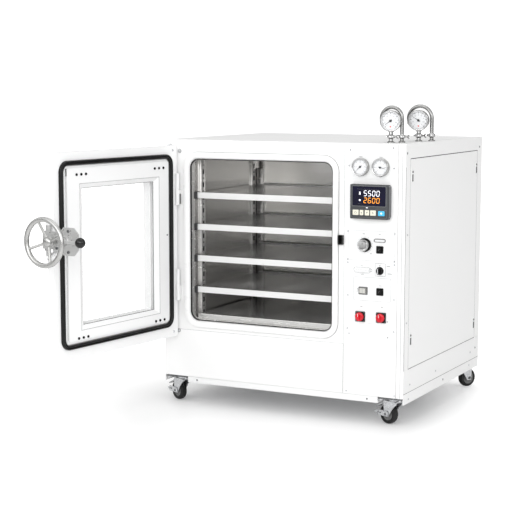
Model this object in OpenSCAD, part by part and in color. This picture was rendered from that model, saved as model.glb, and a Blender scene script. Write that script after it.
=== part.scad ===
/* [Cabinet] */
// Width of the cabinet, left side to right side
body_w = 1000; // [1000:1:1060]
// Depth of the cabinet, front panel to rear panel
body_d = 842; // [820:1:900]
// Height of the cabinet above the bottom edge of the skirt
body_h = 945; // [940:1:980]
// Thickness of the sheet metal skins
skin = 2; // [1.5:0.1:2]
// Gap between the floor and the bottom edge of the skirt
ground_gap = 85; // [85:1:110]
// Vertical seam between the chamber front and the control column
seam_x = 762; // [760:1:764]

/* [Chamber] */
// Left wall of the chamber, inside
ch_x0 = 117; // [115:1:119]
// Clear width of the chamber
ch_w = 600; // [598:1:600]
// Floor of the chamber, inside
ch_z0 = 248; // [246:1:250]
// Clear height of the chamber
ch_h = 626; // [620:1:628]
// Clear depth of the chamber
ch_d = 560; // [540:1:570]
// Wall thickness of the chamber
ch_t = 4; // [3:0.5:4]
// How far the sealing flange stands proud of the front panel
flange_proud = 12; // [10:1:13]

/* [Shelves] */
// Top face of the highest shelf
shelf_top = 742; // [730:1:750]
// Vertical pitch of the shelves
shelf_pitch = 122; // [110:1:124]
// Height of the front lip of a shelf
lip_h = 24; // [18:1:26]
// Depth of a shelf, front to back
shelf_d = 500; // [460:1:505]
// How far a shelf pulls out
shelf_travel = 420; // [200:10:440]

/* [Door] */
// Angle at which the door stands open
door_open = 96.5; // [90:0.5:97]
// Hinge-side edge of the door when closed
door_x0 = 62; // [62:0.5:64]
// Width of the door
door_w = 703; // [700:1:706]
// Bottom edge of the door
door_z0 = 184.5; // [180:0.5:188]
// Height of the door
door_h = 737; // [733:1:742]
// Thickness of the door edge
door_t = 32; // [30:1:40]
// Gap between the front panel and the closed door
door_gap = 24; // [24:0.5:26]
// Extra thickness of the window housing on the outside
window_proud = 22; // [16:1:28]

/* [Clamp] */
// Height of the handwheel axis
clamp_z = 624; // [623:1:626]
// Outside radius of the handwheel
wheel_r = 88; // [80:1:90]
// Radius of the handwheel rim tube
rim_r = 9; // [7:0.5:10]
// Radius of the ball knob
ball_r = 18; // [14:0.5:18]

/* [Casters] */
// Radius of a caster wheel
caster_r = 37.5; // [36:0.5:38]
// Width of a caster wheel
caster_w = 24; // [20:1:25]
// Offset of the wheel axle from the swivel axis
caster_trail = 27; // [22:1:28]

/* [Reference] */
// Distance of the reference point from the left side of the cabinet
ref_x = 469.27; // [455:0.01:480]
// Distance of the reference point behind the front panel
ref_y = 29.05; // [5:0.01:50]

/* [Hidden] */
$fn = 48;
e = 0.01;

W = body_w; D = body_d; H = body_h;
ch_x1 = ch_x0 + ch_w;
ch_z1 = ch_z0 + ch_h;
// sealing flange outline
fl_x0 = ch_x0 - 24; fl_x1 = ch_x1 + 24;
fl_z0 = ch_z0 - 24; fl_z1 = ch_z1 + 24;
// door hinge axis
hg = [70, -16];
hinge_r = 7.4;
pin_r = 4;
fit = 0.05;
// door outline when closed
dx0 = door_x0; dx1 = door_x0 + door_w;
dz0 = door_z0; dz1 = door_z0 + door_h;
dy_in = -door_gap; dy_out = dy_in - door_t;
// window aperture
wx0 = 201; wx1 = 611; wz0 = 303; wz1 = 792;
// border of the window frame at the sides, and above and below
bdx = 22; bdz = 16;
// clamp pivot on the free edge of the door, closed position
cp = [dx1 + 16, dy_in - 12];
sx = cp[0] + 56;               // spindle axis
lx = cp[0] + 91;               // lever axis
rim_y = cp[1] - 84;            // middle plane of the rim
// control column gauges
pg = [[828, 860.5], [906, 860.5]];
// instruments on the roof: x, y, centre height
tg = [[904, 92, 1024], [950, 252, 1023]];
tg_turn = 12;
tube_r = 7;
tt = [[935, 122, 1032, 40], [983, 300, 1028, 46]]; // leg x, y, arch centre height, arch radius
// controls: vacuum knob, oblong lamp, buttons, switches
kn = [846, 579]; lamp_c = [904.5, 597];
ba = [904.5, 564]; bb = [906.5, 411]; bl = [841, 411.5];
sk = [907, 488]; r1 = [830.5, 316]; r2 = [912, 317];
// casters: name, swivel x, y, trailing direction
cs = [["fl", 52, 50, 154], ["fr", W - 52, 50, 158], ["rl", 52, D - 50, 110], ["rr", W - 52, D - 50, 60]];

module place() { translate([-ref_x, -ref_y, ground_gap]) children(); }
module box(a, b) { translate(a) cube([b[0] - a[0], b[1] - a[1], b[2] - a[2]]); }
// 2D shape in X and Z, from y1 - t to y1
module front(y1, t) { translate([0, y1, 0]) rotate([90, 0, 0]) linear_extrude(t) children(); }
// 2D shape in Y and Z, from x0 to x0 + t
module side(x0, t) { translate([x0, 0, 0]) rotate([90, 0, 90]) linear_extrude(t) children(); }
module cyl_y(x, z, r, y0, y1) { translate([x, y1, z]) rotate([90, 0, 0]) cylinder(r = r, h = y1 - y0); }
module cyl_x(y, z, r, x0, x1) { translate([x0, y, z]) rotate([0, 90, 0]) cylinder(r = r, h = x1 - x0); }
module cyl_z(x, y, r, z0, z1) { translate([x, y, z0]) cylinder(r = r, h = z1 - z0); }
module rr2(x0, z0, x1, z1, r) {
  translate([x0 + r, z0]) square([x1 - x0 - 2 * r, z1 - z0]);
  translate([x0, z0 + r]) square([x1 - x0, z1 - z0 - 2 * r]);
  for (x = [x0 + r, x1 - r]) for (z = [z0 + r, z1 - r]) translate([x, z]) circle(r);
}
module sq2(c, a, b) { translate([c[0] - a, c[1] - b]) square([2 * a, 2 * b]); }
// closed door position to open door position
module open_door() { translate([hg[0], hg[1], 0]) rotate([0, 0, -door_open]) translate([-hg[0], -hg[1], 0]) children(); }
// closed clamp position to folded back clamp position
module fold_clamp() { open_door() translate([cp[0], cp[1], 0]) rotate([0, 0, 90]) translate([-cp[0], -cp[1], 0]) children(); }

// ---------- base, frame and skins ----------
module base_pan() color("lightgray") place() {
  box([3, 4, 25], [W - 3, D - 4, 31]);
  for (c = cs) {
    translate([c[1] - 45, c[2] - 42, 20.8]) cube([90, 84, 4.4]);
    cyl_z(c[1], c[2], 6, -2, 22);
    cyl_z(c[1], c[2], 9, -6.5, -1.9);
  }
}
module frame_bars() color("gainsboro") place() {
  for (x = [4, W - 32]) for (y = [4, D - 32]) box([x, y, 31.2], [x + 28, y + 28, H - 3]);
  for (y = [4, D - 34]) box([101, y, 0], [W - 101, y + 30, 24.8]);
  for (x = [101, W - 131]) box([x, 36, 0], [x + 30, D - 36, 24.8]);
  box([seam_x - 2, 34, 31.2], [seam_x, D - 34, H - 3]);
}
module side_panels() color("white") place() {
  box([0, skin + e, 40.3], [skin, D - skin - e, H - skin - e]);
  box([0, skin + e, 0], [skin, D - skin - e, 39.7]);
  box([W - skin, skin + 0.3, 0], [W, D - skin - e, 39.7]);
  box([W - skin, skin + 0.3, 40.3], [W, D - skin - e, 126.6]);
  box([W - skin, 0, 127.4], [W, 44.6, H - skin]);
  box([972.5, 0, 25], [W - e, skin, H - skin]);
  box([W - skin, 785.6, 127.4], [W, D - skin, H - skin]);
  box([W - skin, 45, 891], [W, 785.2, H - skin]);
}
module rear_panel() color("white") place() difference() {
  box([0, D - skin, 31], [W, D, H - skin]);
  cyl_y(650, 700, 15, D - 10, D + 10);
  cyl_y(722, 700, 6, D - 10, D + 10);
  cyl_y(880, 120, 10, D - 10, D + 10);
  for (i = [0:7]) box([810, D - 10, 560 + i * 16], [930, D + 10, 565 + i * 16]);
}
module top_panel() color("white") place() difference() {
  box([0, 0, H - skin], [W, D, H]);
  for (g = tg) cyl_z(g[0], g[1], 8.3, H - 9, H + 9);
  for (t = tt) cyl_z(t[0], t[1], tube_r + 0.3, H - 9, H + 9);
}
module front_panel() color("white") place() difference() {
  box([0, 0, 210], [seam_x, skin, H - skin]);
  box([ch_x0 - 5, -9, ch_z0 - 5], [ch_x1 + 5, 9, ch_z1 + 5]);
}
module lower_front_cover() color("white") place() box([0.5, 0, 25], [seam_x - 0.5, skin, 208.8]);
module control_panel() color("white") place() difference() {
  box([seam_x + 1.5, 0, 25], [971, skin, H - skin]);
  panel_holes(-9, 9);
}
module panel_holes(y0, y1) {
  for (g = pg) cyl_y(g[0], g[1], 27.5, y0, y1);
  box([802, y0, 682], [932, y1, 792]);
  cyl_y(kn[0], kn[1], 10, y0, y1);
  box([lamp_c[0] - 19, y0, lamp_c[1] - 5], [lamp_c[0] + 19, y1, lamp_c[1] + 5]);
  for (b = [ba, bb]) box([b[0] - 11.5, y0, b[1] - 11.5], [b[0] + 11.5, y1, b[1] + 11.5]);
  box([bl[0] - 15.5, y0, bl[1] - 12], [bl[0] + 15.5, y1, bl[1] + 12]);
  for (b = [sk, r1, r2]) cyl_y(b[0], b[1], 12, y0, y1);
}
module instrument_plates() color("whitesmoke") place() difference() {
  union() {
    box([778, -1.5, 817], [960, 0, 914]);
    box([775, -1.5, 519], [966, 0, 635]);
    box([775, -1.5, 264], [966, 0, 517.5]);
  }
  panel_holes(-9, 9);
}

// ---------- heated chamber ----------
module chamber_shell() color("silver") place() difference() {
  box([ch_x0 - ch_t, 0, ch_z0 - ch_t], [ch_x1 + ch_t, ch_d + ch_t, ch_z1 + ch_t]);
  box([ch_x0, -9, ch_z0], [ch_x1, ch_d, ch_z1]);
  cyl_y(650, 700, 14.2, ch_d - 9, ch_d + 9);
  cyl_y(722 - 30, 700, 5.2, ch_d - 9, ch_d + 9);
}
module flange_ring() color("white") place() difference() {
  front(0, flange_proud) rr2(fl_x0, fl_z0, fl_x1, fl_z1, 60);
  front(9, 30) rr2(ch_x0, ch_z0, ch_x1, ch_z1, 38);
}
module insulation() color("khaki") place() {
  box([35, 34, ch_z0 - 8], [ch_x0 - 8.6, ch_d + 5, ch_z1 + 8]);
  box([ch_x1 + 8.6, 34, ch_z0 - 8], [seam_x - 2.5, ch_d + 5, ch_z1 + 8]);
  box([35, 4, ch_z1 + 9], [seam_x - 2.5, ch_d + 5, H - 5]);
  box([35, 36, 190], [seam_x - 2.5, ch_d + 5, ch_z0 - 9]);
  difference() {
    box([35, ch_d + 6, 190], [seam_x - 2.5, ch_d + 80, H - 5]);
    cyl_y(650, 700, 15, ch_d, ch_d + 99);
    cyl_y(692, 700, 6, ch_d, ch_d + 99);
  }
}
module wall_heaters() color("orangered") place() {
  box([ch_x0 - 8, 60, 300], [ch_x0 - 4.2, 500, 820]);
  box([ch_x1 + 4.2, 60, 300], [ch_x1 + 8, 500, 820]);
  box([180, 60, ch_z0 - 8], [650, 500, ch_z0 - 4.2]);
}
function shelf_z(i) = i < 4 ? shelf_top - i * shelf_pitch : ch_z0 + 22;
module shelf_uprights() color("silver") place()
  for (y = [74, 500]) for (s = [0, 1]) {
    x0 = s == 0 ? ch_x0 + 0.3 : ch_x1 - 8.3;
    difference() {
      box([x0, y, ch_z0 + 6], [x0 + 8, y + 30, ch_z1 - 10]);
      for (i = [0:23]) box([x0 - 9, y + 8, ch_z0 + 18 + i * 25], [x0 + 19, y + 22, ch_z0 + 22 + i * 25]);
    }
    for (i = [0:4]) {
      xa = s == 0 ? x0 + 8.15 : x0 - 16.15;
      box([xa, y + 3, shelf_z(i) - 5.5], [xa + 16, y + 27, shelf_z(i) - 2]);
    }
  }
module shelf(z) color("silver") place() {
  x0 = ch_x0 + 14.5; x1 = ch_x1 - 14.5;
  box([x0, 35, z - 1.8], [x1, 35 + shelf_d, z]);
  box([x0, 35, z - lip_h], [x1, 37, z - 1.7]);
  box([x0 + 12, 33 + shelf_d, z - lip_h], [x1 - 12, 35 + shelf_d, z - 1.7]);
}
module shelf_1() shelf(shelf_z(0));
module shelf_2() shelf(shelf_z(1));
module shelf_3() shelf(shelf_z(2));
module shelf_4() shelf(shelf_z(3));
module floor_tray() color("silver") place() {
  z = shelf_z(4);
  x0 = ch_x0 + 14.5; x1 = ch_x1 - 14.5;
  box([x0, 35, z - 1.8], [x1, 35 + shelf_d, z]);
  box([x0, 35, z - 12], [x1, 37, z - 1.7]);
  box([x0 + 20, 35, z - 20], [x1 - 20, 37, z - 11.9]);
  box([x0 + 20, 33 + shelf_d, z - 20], [x1 - 20, 35 + shelf_d, z - 1.7]);
}

// ---------- cabinet side of the door hardware ----------
module door_fittings() {
  for (z = [325, 695]) color("white") place() {
    cyl_z(hg[0], hg[1], hinge_r, z, z + 60);
    box([hg[0] - 5, hg[1], z + 4], [hg[0] + 7, 0, z + 56]);
    cyl_z(hg[0], hg[1], pin_r, z + 59, z + 112);
  }
  // keeper block that takes the nose of the draw hook
  color("black") place() difference() {
    box([744.5, -14, 576], [761.5, 0, 610]);
    box([748, -20, 581], [760.8, -2, 620]);
  }
}

// ---------- instruments ----------
module temperature_controller() color("dimgray") place() difference() {
  union() {
    box([796, -25, 675], [943, 0, 799]);
    box([804, -e, 684], [930, 96, 790]);
  }
  front(-23, 9) rr2(805, 716, 935, 790, 5);
  box([799, -35, 680], [940, -20, 709]);
}
module controller_keypad() color("ivory") place() {
  box([799.3, -22, 680.3], [939.7, -20, 708.7]);
  for (k = [[808.5, 830], [835, 848.5], [855, 871.5], [876, 897], [907, 930]])
    front(-21.9, 6) rr2(k[0], 685, k[1], 705, 2.5);
}
module gauge_case(R, y0, y1, dial) difference() {
  cyl_y(0, 0, R, y0, y1);
  cyl_y(0, 0, R - 3.5, y0 - 5, dial);
}
module panel_gauges() color("silver") place()
  for (g = pg) translate([g[0], 0, g[1]]) {
    gauge_case(31, -16, -1.5, -9);
    cyl_y(0, 0, 27, -1.6, 40);
    cyl_y(0, 0, 1.2, -13.5, -8.9);
  }
module needle(L, y) difference() {
  union() {
    cyl_y(0, 0, 3, y - 1.6, y);
    front(y - 0.3, 0.9) polygon([[-1.2, -7], [1.2, -7], [0.3, L], [-0.3, L]]);
  }
  cyl_y(0, 0, 1.25, y - 9, y + 9);
}
module panel_needle_left() color("black") place() translate([pg[0][0], 0, pg[0][1]]) rotate([0, -130, 0]) needle(19, -10.2);
module panel_needle_right() color("black") place() translate([pg[1][0], 0, pg[1][1]]) rotate([0, 104, 0]) needle(19, -10.2);
module at_top_gauge(i) translate([tg[i][0], tg[i][1], tg[i][2]]) rotate([0, 0, tg_turn]) children();
// stub, flange joint with clamp ring and wing screw
module flange_stub(x, y, z1, r = 8) {
  cyl_z(x, y, r, H - 6, z1);
  cyl_z(x, y, 12, H, H + 3);
  cyl_z(x, y, 13.5, H + 17, H + 26);
  translate([x, y, H + 21.5]) rotate([0, 0, tg_turn]) {
    translate([12, -3, -3]) cube([8, 6, 6]);
    translate([19.9, -2, -4]) rotate([0, -18, 0]) cube([9, 4, 5]);
    translate([-17.5, -2.5, -2.5]) cube([6, 5, 5]);
  }
}
module top_gauges() color("silver") place() for (i = [0, 1]) {
  at_top_gauge(i) {
    gauge_case(37.5, -18, 12, -11);
    cyl_y(0, 0, 1.2, -15.5, -10.9);
  }
  flange_stub(tg[i][0], tg[i][1], tg[i][2] - 34);
}
module top_needle_front() color("black") place() at_top_gauge(0) rotate([0, -125, 0]) needle(25, -12.2);
module top_needle_rear() color("black") place() at_top_gauge(1) rotate([0, -58, 0]) needle(25, -12.2);
module gauge_tubes() color("silver") place() for (i = [0, 1]) {
  t = tt[i]; c = [t[0] - t[3], t[1], t[2]]; r2 = t[3] / 2; q = [c[0] + r2 * (cos(200) + cos(290)), c[2] + r2 * (sin(200) + sin(290))];
  translate(c) rotate([90, 0, 0]) {
    rotate_extrude(angle = 199) translate([t[3], 0]) circle(tube_r);
    rotate([0, 0, 200]) translate([t[3], 0, 0]) rotate([90, 0, 0]) cylinder(r = tube_r + 1.2, h = 6, center = true);
    translate([r2 * cos(200), r2 * sin(200), 0]) rotate([0, 0, 202]) rotate_extrude(angle = 88) translate([r2, 0]) circle(tube_r);
  }
  cyl_y(q[0] + 4, q[1] - 1, 11, t[1] - 9, t[1] + 10);
  at_top_gauge(i) cyl_y([-16, -15][i], [-19, -23][i], 8, 12.05, [31, 50][i]);
  flange_stub(t[0], t[1], t[2], tube_r);
}
// square push button body with a guide hole for its cap
module button_body(c, a, b) difference() {
  union() {
    front(-1.5, 3.5) rr2(c[0] - a - 2.5, c[1] - b - 2.5, c[0] + a + 2.5, c[1] + b + 2.5, 2);
    box([c[0] - a, -1.6, c[1] - b], [c[0] + a, 24, c[1] + b]);
  }
  box([c[0] - a + 2, -9, c[1] - b + 2], [c[0] + a - 2, 8, c[1] + b - 2]);
}
module turn_seat(c, a, r, bore) difference() {
  union() {
    front(-1.5, 3.5) sq2(c, a, a);
    cyl_y(c[0], c[1], r, -1.6, 30);
  }
  cyl_y(c[0], c[1], bore, -9, 24);
}
module switch_bezels() {
  color("black") place() {
    button_body(ba, 11, 11);
    button_body(bb, 11, 11);
    turn_seat(r1, 19, 11.5, 4 + fit);
    turn_seat(r2, 19, 11.5, 4 + fit);
    difference() {
      union() {
        cyl_y(kn[0], kn[1], 25, -6, -1.5);
        cyl_y(kn[0], kn[1], 9.5, -1.6, 40);
      }
      cyl_y(kn[0], kn[1], 5 + fit, -9, 34);
    }
  }
  color("gainsboro") place() {
    button_body(bl, 15, 11.5);
    turn_seat(sk, 17, 11.5, 4 + fit);
    front(-1.5, 4) rr2(lamp_c[0] - 23, lamp_c[1] - 7, lamp_c[0] + 23, lamp_c[1] + 7, 6.9);
    box([lamp_c[0] - 18, -1.6, lamp_c[1] - 4.5], [lamp_c[0] + 18, 20, lamp_c[1] + 4.5]);
  }
}
module vacuum_knob() color("silver") place() {
  cyl_y(kn[0], kn[1], 5, -8, 30);
  cyl_y(kn[0], kn[1], 22, -26, -6.4);
  cyl_y(kn[0], kn[1], 18, -30, -25.9);
}
module turn_knob(c) {
  cyl_y(c[0], c[1], 4, -8, 20);
  cyl_y(c[0], c[1], 17, -18, -5.4);
  box([c[0] - 5, -27, c[1] - 15], [c[0] + 5, -17.9, c[1] + 15]);
}
module heater_switch() color("red") place() turn_knob(r1);
module pump_switch() color("red") place() turn_knob(r2);
module selector_key() color("black") place() {
  cyl_y(sk[0], sk[1], 4, -8, 20);
  cyl_y(sk[0], sk[1], 13, -14, -5.4);
  box([sk[0] - 4, -27, sk[1] - 12], [sk[0] + 4, -13.9, sk[1] + 12]);
}
module button_cap(c, a, b) box([c[0] - a + 2.3, -9, c[1] - b + 2.3], [c[0] + a - 2.3, 3, c[1] + b - 2.3]);
module alarm_button() color("black") place() button_cap(ba, 11, 11);
module reset_button() color("black") place() button_cap(bb, 11, 11);
module lamp_button() color("linen") place() button_cap(bl, 15, 11.5);

// ---------- pipework and inlet at the rear ----------
module vacuum_pipework() color("silver") place() {
  difference() {
    union() {
      cyl_y(650, 700, 14, ch_d - 2, D + 44);
      cyl_y(650, 700, 20, D + 41, D + 44);
      cyl_y(650, 700, 19, D + e, D + 5);
      translate([650, D + 41, 700]) rotate([90, 0, 0]) cylinder(r1 = 20, r2 = 14, h = 4);
    }
    cyl_y(650, 700, 12, ch_d - 9, D + 60);
  }
  difference() {
    union() {
      cyl_y(692, 700, 5, ch_d - 2, ch_d + 120);
      cyl_y(722, 700, 5, ch_d + 106, D + 34);
      box([684, ch_d + 104, 692], [730, ch_d + 122, 708]);
      cyl_y(722, 700, 9, D + e, D + 8);
    }
    cyl_y(692, 700, 3, ch_d - 9, ch_d + 113);
    cyl_y(722, 700, 3, ch_d + 113, D + 50);
    cyl_x(ch_d + 113, 700, 3, 692, 722);
  }
}
module cable_gland() color("dimgray") place() difference() {
  union() {
    cyl_y(880, 120, 9.8, D - 12, D + 2);
    cyl_y(880, 120, 14, D + e, D + 6);
    cyl_y(880, 120, 11, D + 5, D + 24);
    cyl_y(880, 120, 14, D - 9, D - skin - e);
  }
  cyl_y(880, 120, 5.5, D - 20, D + 40);
}
module screw_y(x, z, y = 0) cyl_y(x, z, 3, y - 1.8, y - e);
module screw_x(y, z) cyl_x(y, z, 3.4, W + e, W + 1.8);
module panel_screws() color("gray") place() {
  for (p = [[786, 920], [952, 930], [777, 35], [966, 34], [786, 250], [938, 246]]) screw_y(p[0], p[1]);
  for (p = [[779.5, 626], [961.5, 624], [781, 392], [961, 386], [782, 864], [956, 858], [779.5, 524], [961.5, 524], [779.5, 512], [961.5, 512], [779.5, 269], [961.5, 269], [937, 304]]) screw_y(p[0], p[1], -1.5);
  for (p = [[64, 67], [335, 70], [738, 73], [52, 16], [725, 22], [22, 620], [22, 300]]) screw_x(p[0], p[1]);
}
// lift-off side cover with four turn latches
module service_panel() color("white") place() {
  box([W - skin, 45.8, 128.4], [W, 784.4, 890]);
  for (p = [[62, 830], [768, 822], [62, 236], [768, 190]]) side(W - e, 1.8) rr2(p[0] - 6, p[1] - 22, p[0] + 6, p[1] + 22, 3);
}

// ---------- door ----------
module door_casing() color("white") place() open_door() {
  difference() {
    union() {
      box([dx0, dy_out, dz0], [dx1, dy_in, dz1]);
      front(dy_out + e, window_proud) rr2(wx0 - 36, wz0 - 36, wx1 + 36, wz1 + 36, 12);
      for (z = [325, 695]) {
        cyl_z(hg[0], hg[1], hinge_r, z + 60.3, z + 121);
        box([hg[0] - 5, dy_in - e, z + 62], [hg[0] + 5, hg[1], z + 119]);
      }
      // clamp bracket on the free edge
      box([dx1 - e, dy_in - 30, clamp_z - 66], [dx1 + 3, dy_in - 4, clamp_z + 60]);
      for (z = [clamp_z - 66, clamp_z + 50]) {
        box([dx1, cp[1] - 9, z], [cp[0], cp[1] + 9, z + 10]);
        cyl_z(cp[0], cp[1], 9, z, z + 10);
      }
    }
    box([wx0, -200, wz0], [wx1, 0, wz1]);
    box([wx0 - 9, dy_in - 22, wz0 - 9], [wx1 + 9, 0, wz1 + 9]);
    box([wx0 - bdx - 0.4, dy_in - 6, wz0 - bdz - 0.4], [wx1 + bdx + 0.4, 0, wz1 + bdz + 0.4]);
    for (z = [325, 695]) cyl_z(hg[0], hg[1], pin_r + fit, z + 50, z + 130);
    front(dy_in + e, 7) difference() {
      rr2(96.5, 224.5, 737.5, 891.5, 41);
      rr2(113.5, 241.5, 720.5, 874.5, 24);
    }
    box([dx1 - 28, -200, clamp_z - 50], [dx1 + 30 - 27, 0, clamp_z + 10]);
  }
  cyl_z(cp[0], cp[1], 4.5, clamp_z - 66, clamp_z + 60);
}
module door_inner_panel() color("white") place() open_door() front(dy_in + 4, 4) difference() {
  rr2(121, 251, 699, 865, 8);
  translate([wx0 - bdx - 0.4, wz0 - bdz - 0.4]) square([wx1 - wx0 + 2 * bdx + 0.8, wz1 - wz0 + 2 * bdz + 0.8]);
}
module door_gasket() color("black") place() open_door() front(dy_in + 11, 17.8) difference() {
  rr2(97, 225, 737, 891, 40.5);
  rr2(113, 241, 721, 875, 24.5);
}
module door_glass() color("lightcyan") place() open_door()
  box([wx0 - 8, dy_in - 21.7, wz0 - 8], [wx1 + 8, dy_in - 5.7, wz1 + 8]);
module door_window_frame() color("white") place() open_door() front(dy_in + 3.6, 9.2) difference() {
  translate([wx0 - bdx, wz0 - bdz]) square([wx1 - wx0 + 2 * bdx, wz1 - wz0 + 2 * bdz]);
  translate([wx0, wz0]) square([wx1 - wx0, wz1 - wz0]);
}

// ---------- swinging clamp on the free edge of the door ----------
module clamp_yoke() color("silver") place() fold_clamp() {
  difference() {
    union() {
      cyl_z(cp[0], cp[1], 9, clamp_z - 55.5, clamp_z + 49.5);
      front(cp[1] - 11, 6) {
        translate([cp[0] - 11, clamp_z - 31]) square([75, 62]);
        translate([cp[0] + 106, clamp_z]) polygon([[-43, -27], [-22, -48], [22, -48], [43, -27], [43, 27], [22, 48], [-22, 48], [-43, 27]]);
      }
      box([cp[0] - 7, cp[1] - 12, clamp_z - 31], [cp[0] + 9, cp[1], clamp_z + 31]);
      cyl_y(sx, clamp_z, 16, cp[1] - 39, cp[1] - 16.9);
    }
    cyl_z(cp[0], cp[1], 4.5 + fit, clamp_z - 70, clamp_z + 70);
    cyl_y(sx, clamp_z, 7 + fit, cp[1] - 60, cp[1]);
  }
  cyl_y(lx, clamp_z, 5, cp[1] - 40, cp[1] - 16.9);
}
module ball_lever() place() fold_clamp() {
  color("silver") difference() {
    union() {
      cyl_y(lx, clamp_z, 15, cp[1] - 39.5, cp[1] - 17.3);
      cyl_x(cp[1] - 30, clamp_z, 6, lx + 10, lx + 66);
    }
    cyl_y(lx, clamp_z, 5 + fit, cp[1] - 60, cp[1]);
  }
  color("black") translate([lx + 79, cp[1] - 30, clamp_z + 1]) sphere(r = ball_r);
}
module handwheel() color("silver") place() fold_clamp() difference() {
  union() {
    translate([sx, rim_y, clamp_z]) rotate([90, 0, 0]) rotate_extrude() translate([wheel_r - rim_r, 0]) circle(rim_r);
    cyl_y(sx, clamp_z, 17, rim_y + 16, cp[1] - 39.3);
    cyl_y(sx, clamp_z, 12, rim_y + 8, rim_y + 17);
    for (a = [20:90:290]) translate([sx, rim_y + 24, clamp_z]) rotate([0, -a, 0]) rotate([0, 90, -16.5]) cylinder(r = 5, h = wheel_r - rim_r + 2);
  }
  cyl_y(sx, clamp_z, 7 + fit, rim_y + 14, cp[1]);
}
module draw_hook() color("dimgray") place() fold_clamp() {
  cyl_y(sx, clamp_z, 7, rim_y + 20, cp[1] + 20);
  box([750, cp[1] + 16, clamp_z - 14], [sx + 10, cp[1] + 25, clamp_z + 2]);
  box([750, cp[1] + 16, clamp_z - 42.5], [759.5, cp[1] + 29, clamp_z + 2]);
}

// ---------- casters ----------
axle_z = caster_r - ground_gap;
module at_caster(i) translate([cs[i][1], cs[i][2], 0]) rotate([0, 0, cs[i][3]]) children();
module caster_fork(i, braked) color("gainsboro") place() at_caster(i) difference() {
  union() {
    cyl_z(0, 0, 22, 8, 20.5);
    translate([-24, -17.8, 0]) cube([60, 35.6, 4]);
    cyl_z(0, 0, 19, 3.9, 8.1);
    for (s = [-1, 1]) translate([0, s * 16.3 + 1.5, 0]) rotate([90, 0, 0]) linear_extrude(3)
      polygon([[-24, 4], [36, 4], [40, -2], [36, axle_z - 9], [18, axle_z - 9], [-8, -20], [-24, -6]]);
    translate([caster_trail, 0, axle_z]) rotate([90, 0, 0]) cylinder(r = 4, h = 38, center = true);
  }
  cyl_z(0, 0, 6 + fit, -9, 30);
  if (braked) translate([33, 0, -4.5]) rotate([90, 0, 0]) cylinder(r = 2.5 + fit, h = 60, center = true);
}
module caster_wheel(i) color("#222222") place() at_caster(i) difference() {
  translate([caster_trail, 0, axle_z]) rotate([90, 0, 0]) {
    cylinder(r = caster_r, h = caster_w, center = true);
    cylinder(r = 10, h = 28.6, center = true);
  }
  translate([caster_trail, 0, axle_z]) rotate([90, 0, 0]) cylinder(r = 4 + fit, h = 60, center = true);
}
module brake_pedal(i) color("silver") place() at_caster(i) {
  translate([33, 0, -4.5]) rotate([90, 0, 0]) cylinder(r = 2.5, h = 35, center = true);
  translate([33, 0, -4.5]) rotate([90, 0, 0]) cylinder(r = 4.4, h = 28, center = true);
  translate([35, -11, -5.5]) rotate([0, 26, 0]) cube([9, 22, 2.5]);
  translate([42, -15, -8.9]) rotate([0, 26, 0]) cube([42, 30, 2.5]);
}
module caster_fork_fl() caster_fork(0, true);
module caster_fork_fr() caster_fork(1, true);
module caster_fork_rl() caster_fork(2, false);
module caster_fork_rr() caster_fork(3, false);
module caster_wheel_fl() caster_wheel(0);
module caster_wheel_fr() caster_wheel(1);
module caster_wheel_rl() caster_wheel(2);
module caster_wheel_rr() caster_wheel(3);
module brake_pedal_fl() brake_pedal(0);
module brake_pedal_fr() brake_pedal(1);

base_pan();
frame_bars();
side_panels();
rear_panel();
top_panel();
front_panel();
lower_front_cover();
control_panel();
chamber_shell();
flange_ring();
insulation();
wall_heaters();
shelf_uprights();
door_fittings();
instrument_plates();
temperature_controller();
controller_keypad();
panel_gauges();
switch_bezels();
vacuum_pipework();
top_gauges();
gauge_tubes();
cable_gland();
panel_screws();
shelf_1();
shelf_2();
shelf_3();
shelf_4();
floor_tray();
panel_needle_left();
panel_needle_right();
top_needle_front();
top_needle_rear();
vacuum_knob();
heater_switch();
pump_switch();
selector_key();
alarm_button();
reset_button();
lamp_button();
service_panel();
door_casing();
door_inner_panel();
door_gasket();
door_glass();
door_window_frame();
clamp_yoke();
ball_lever();
handwheel();
draw_hook();
caster_fork_fl();
caster_fork_fr();
caster_fork_rl();
caster_fork_rr();
caster_wheel_fl();
caster_wheel_fr();
caster_wheel_rl();
caster_wheel_rr();
brake_pedal_fl();
brake_pedal_fr();
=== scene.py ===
import bpy, bmesh, math
from mathutils import Vector, Matrix


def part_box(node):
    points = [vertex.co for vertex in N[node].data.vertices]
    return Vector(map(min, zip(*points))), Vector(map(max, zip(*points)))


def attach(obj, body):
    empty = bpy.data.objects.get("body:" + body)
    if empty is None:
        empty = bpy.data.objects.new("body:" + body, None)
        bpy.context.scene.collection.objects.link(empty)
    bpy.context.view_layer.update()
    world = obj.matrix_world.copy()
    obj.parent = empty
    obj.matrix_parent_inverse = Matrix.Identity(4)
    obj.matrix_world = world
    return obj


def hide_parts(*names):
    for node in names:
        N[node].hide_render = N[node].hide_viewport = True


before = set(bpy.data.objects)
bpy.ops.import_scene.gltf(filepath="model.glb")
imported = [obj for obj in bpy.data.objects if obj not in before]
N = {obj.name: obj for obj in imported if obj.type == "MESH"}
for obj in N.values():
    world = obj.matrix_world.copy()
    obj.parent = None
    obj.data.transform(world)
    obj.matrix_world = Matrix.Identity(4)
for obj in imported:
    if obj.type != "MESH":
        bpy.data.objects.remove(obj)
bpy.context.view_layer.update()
lo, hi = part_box("top_panel")
OX, OY, OZ = lo.x, lo.y, 0.085
W, D, H = 1000.0, 842.0, 945.0


# ------------------------------------------------------------------ frames
# cabinet millimetres: x from the left side, y back from the front panel, z up from the skirt's lower edge
def cab(p):
    return Vector((OX + p[0] / 1000, OY + p[1] / 1000, OZ + p[2] / 1000))


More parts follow.
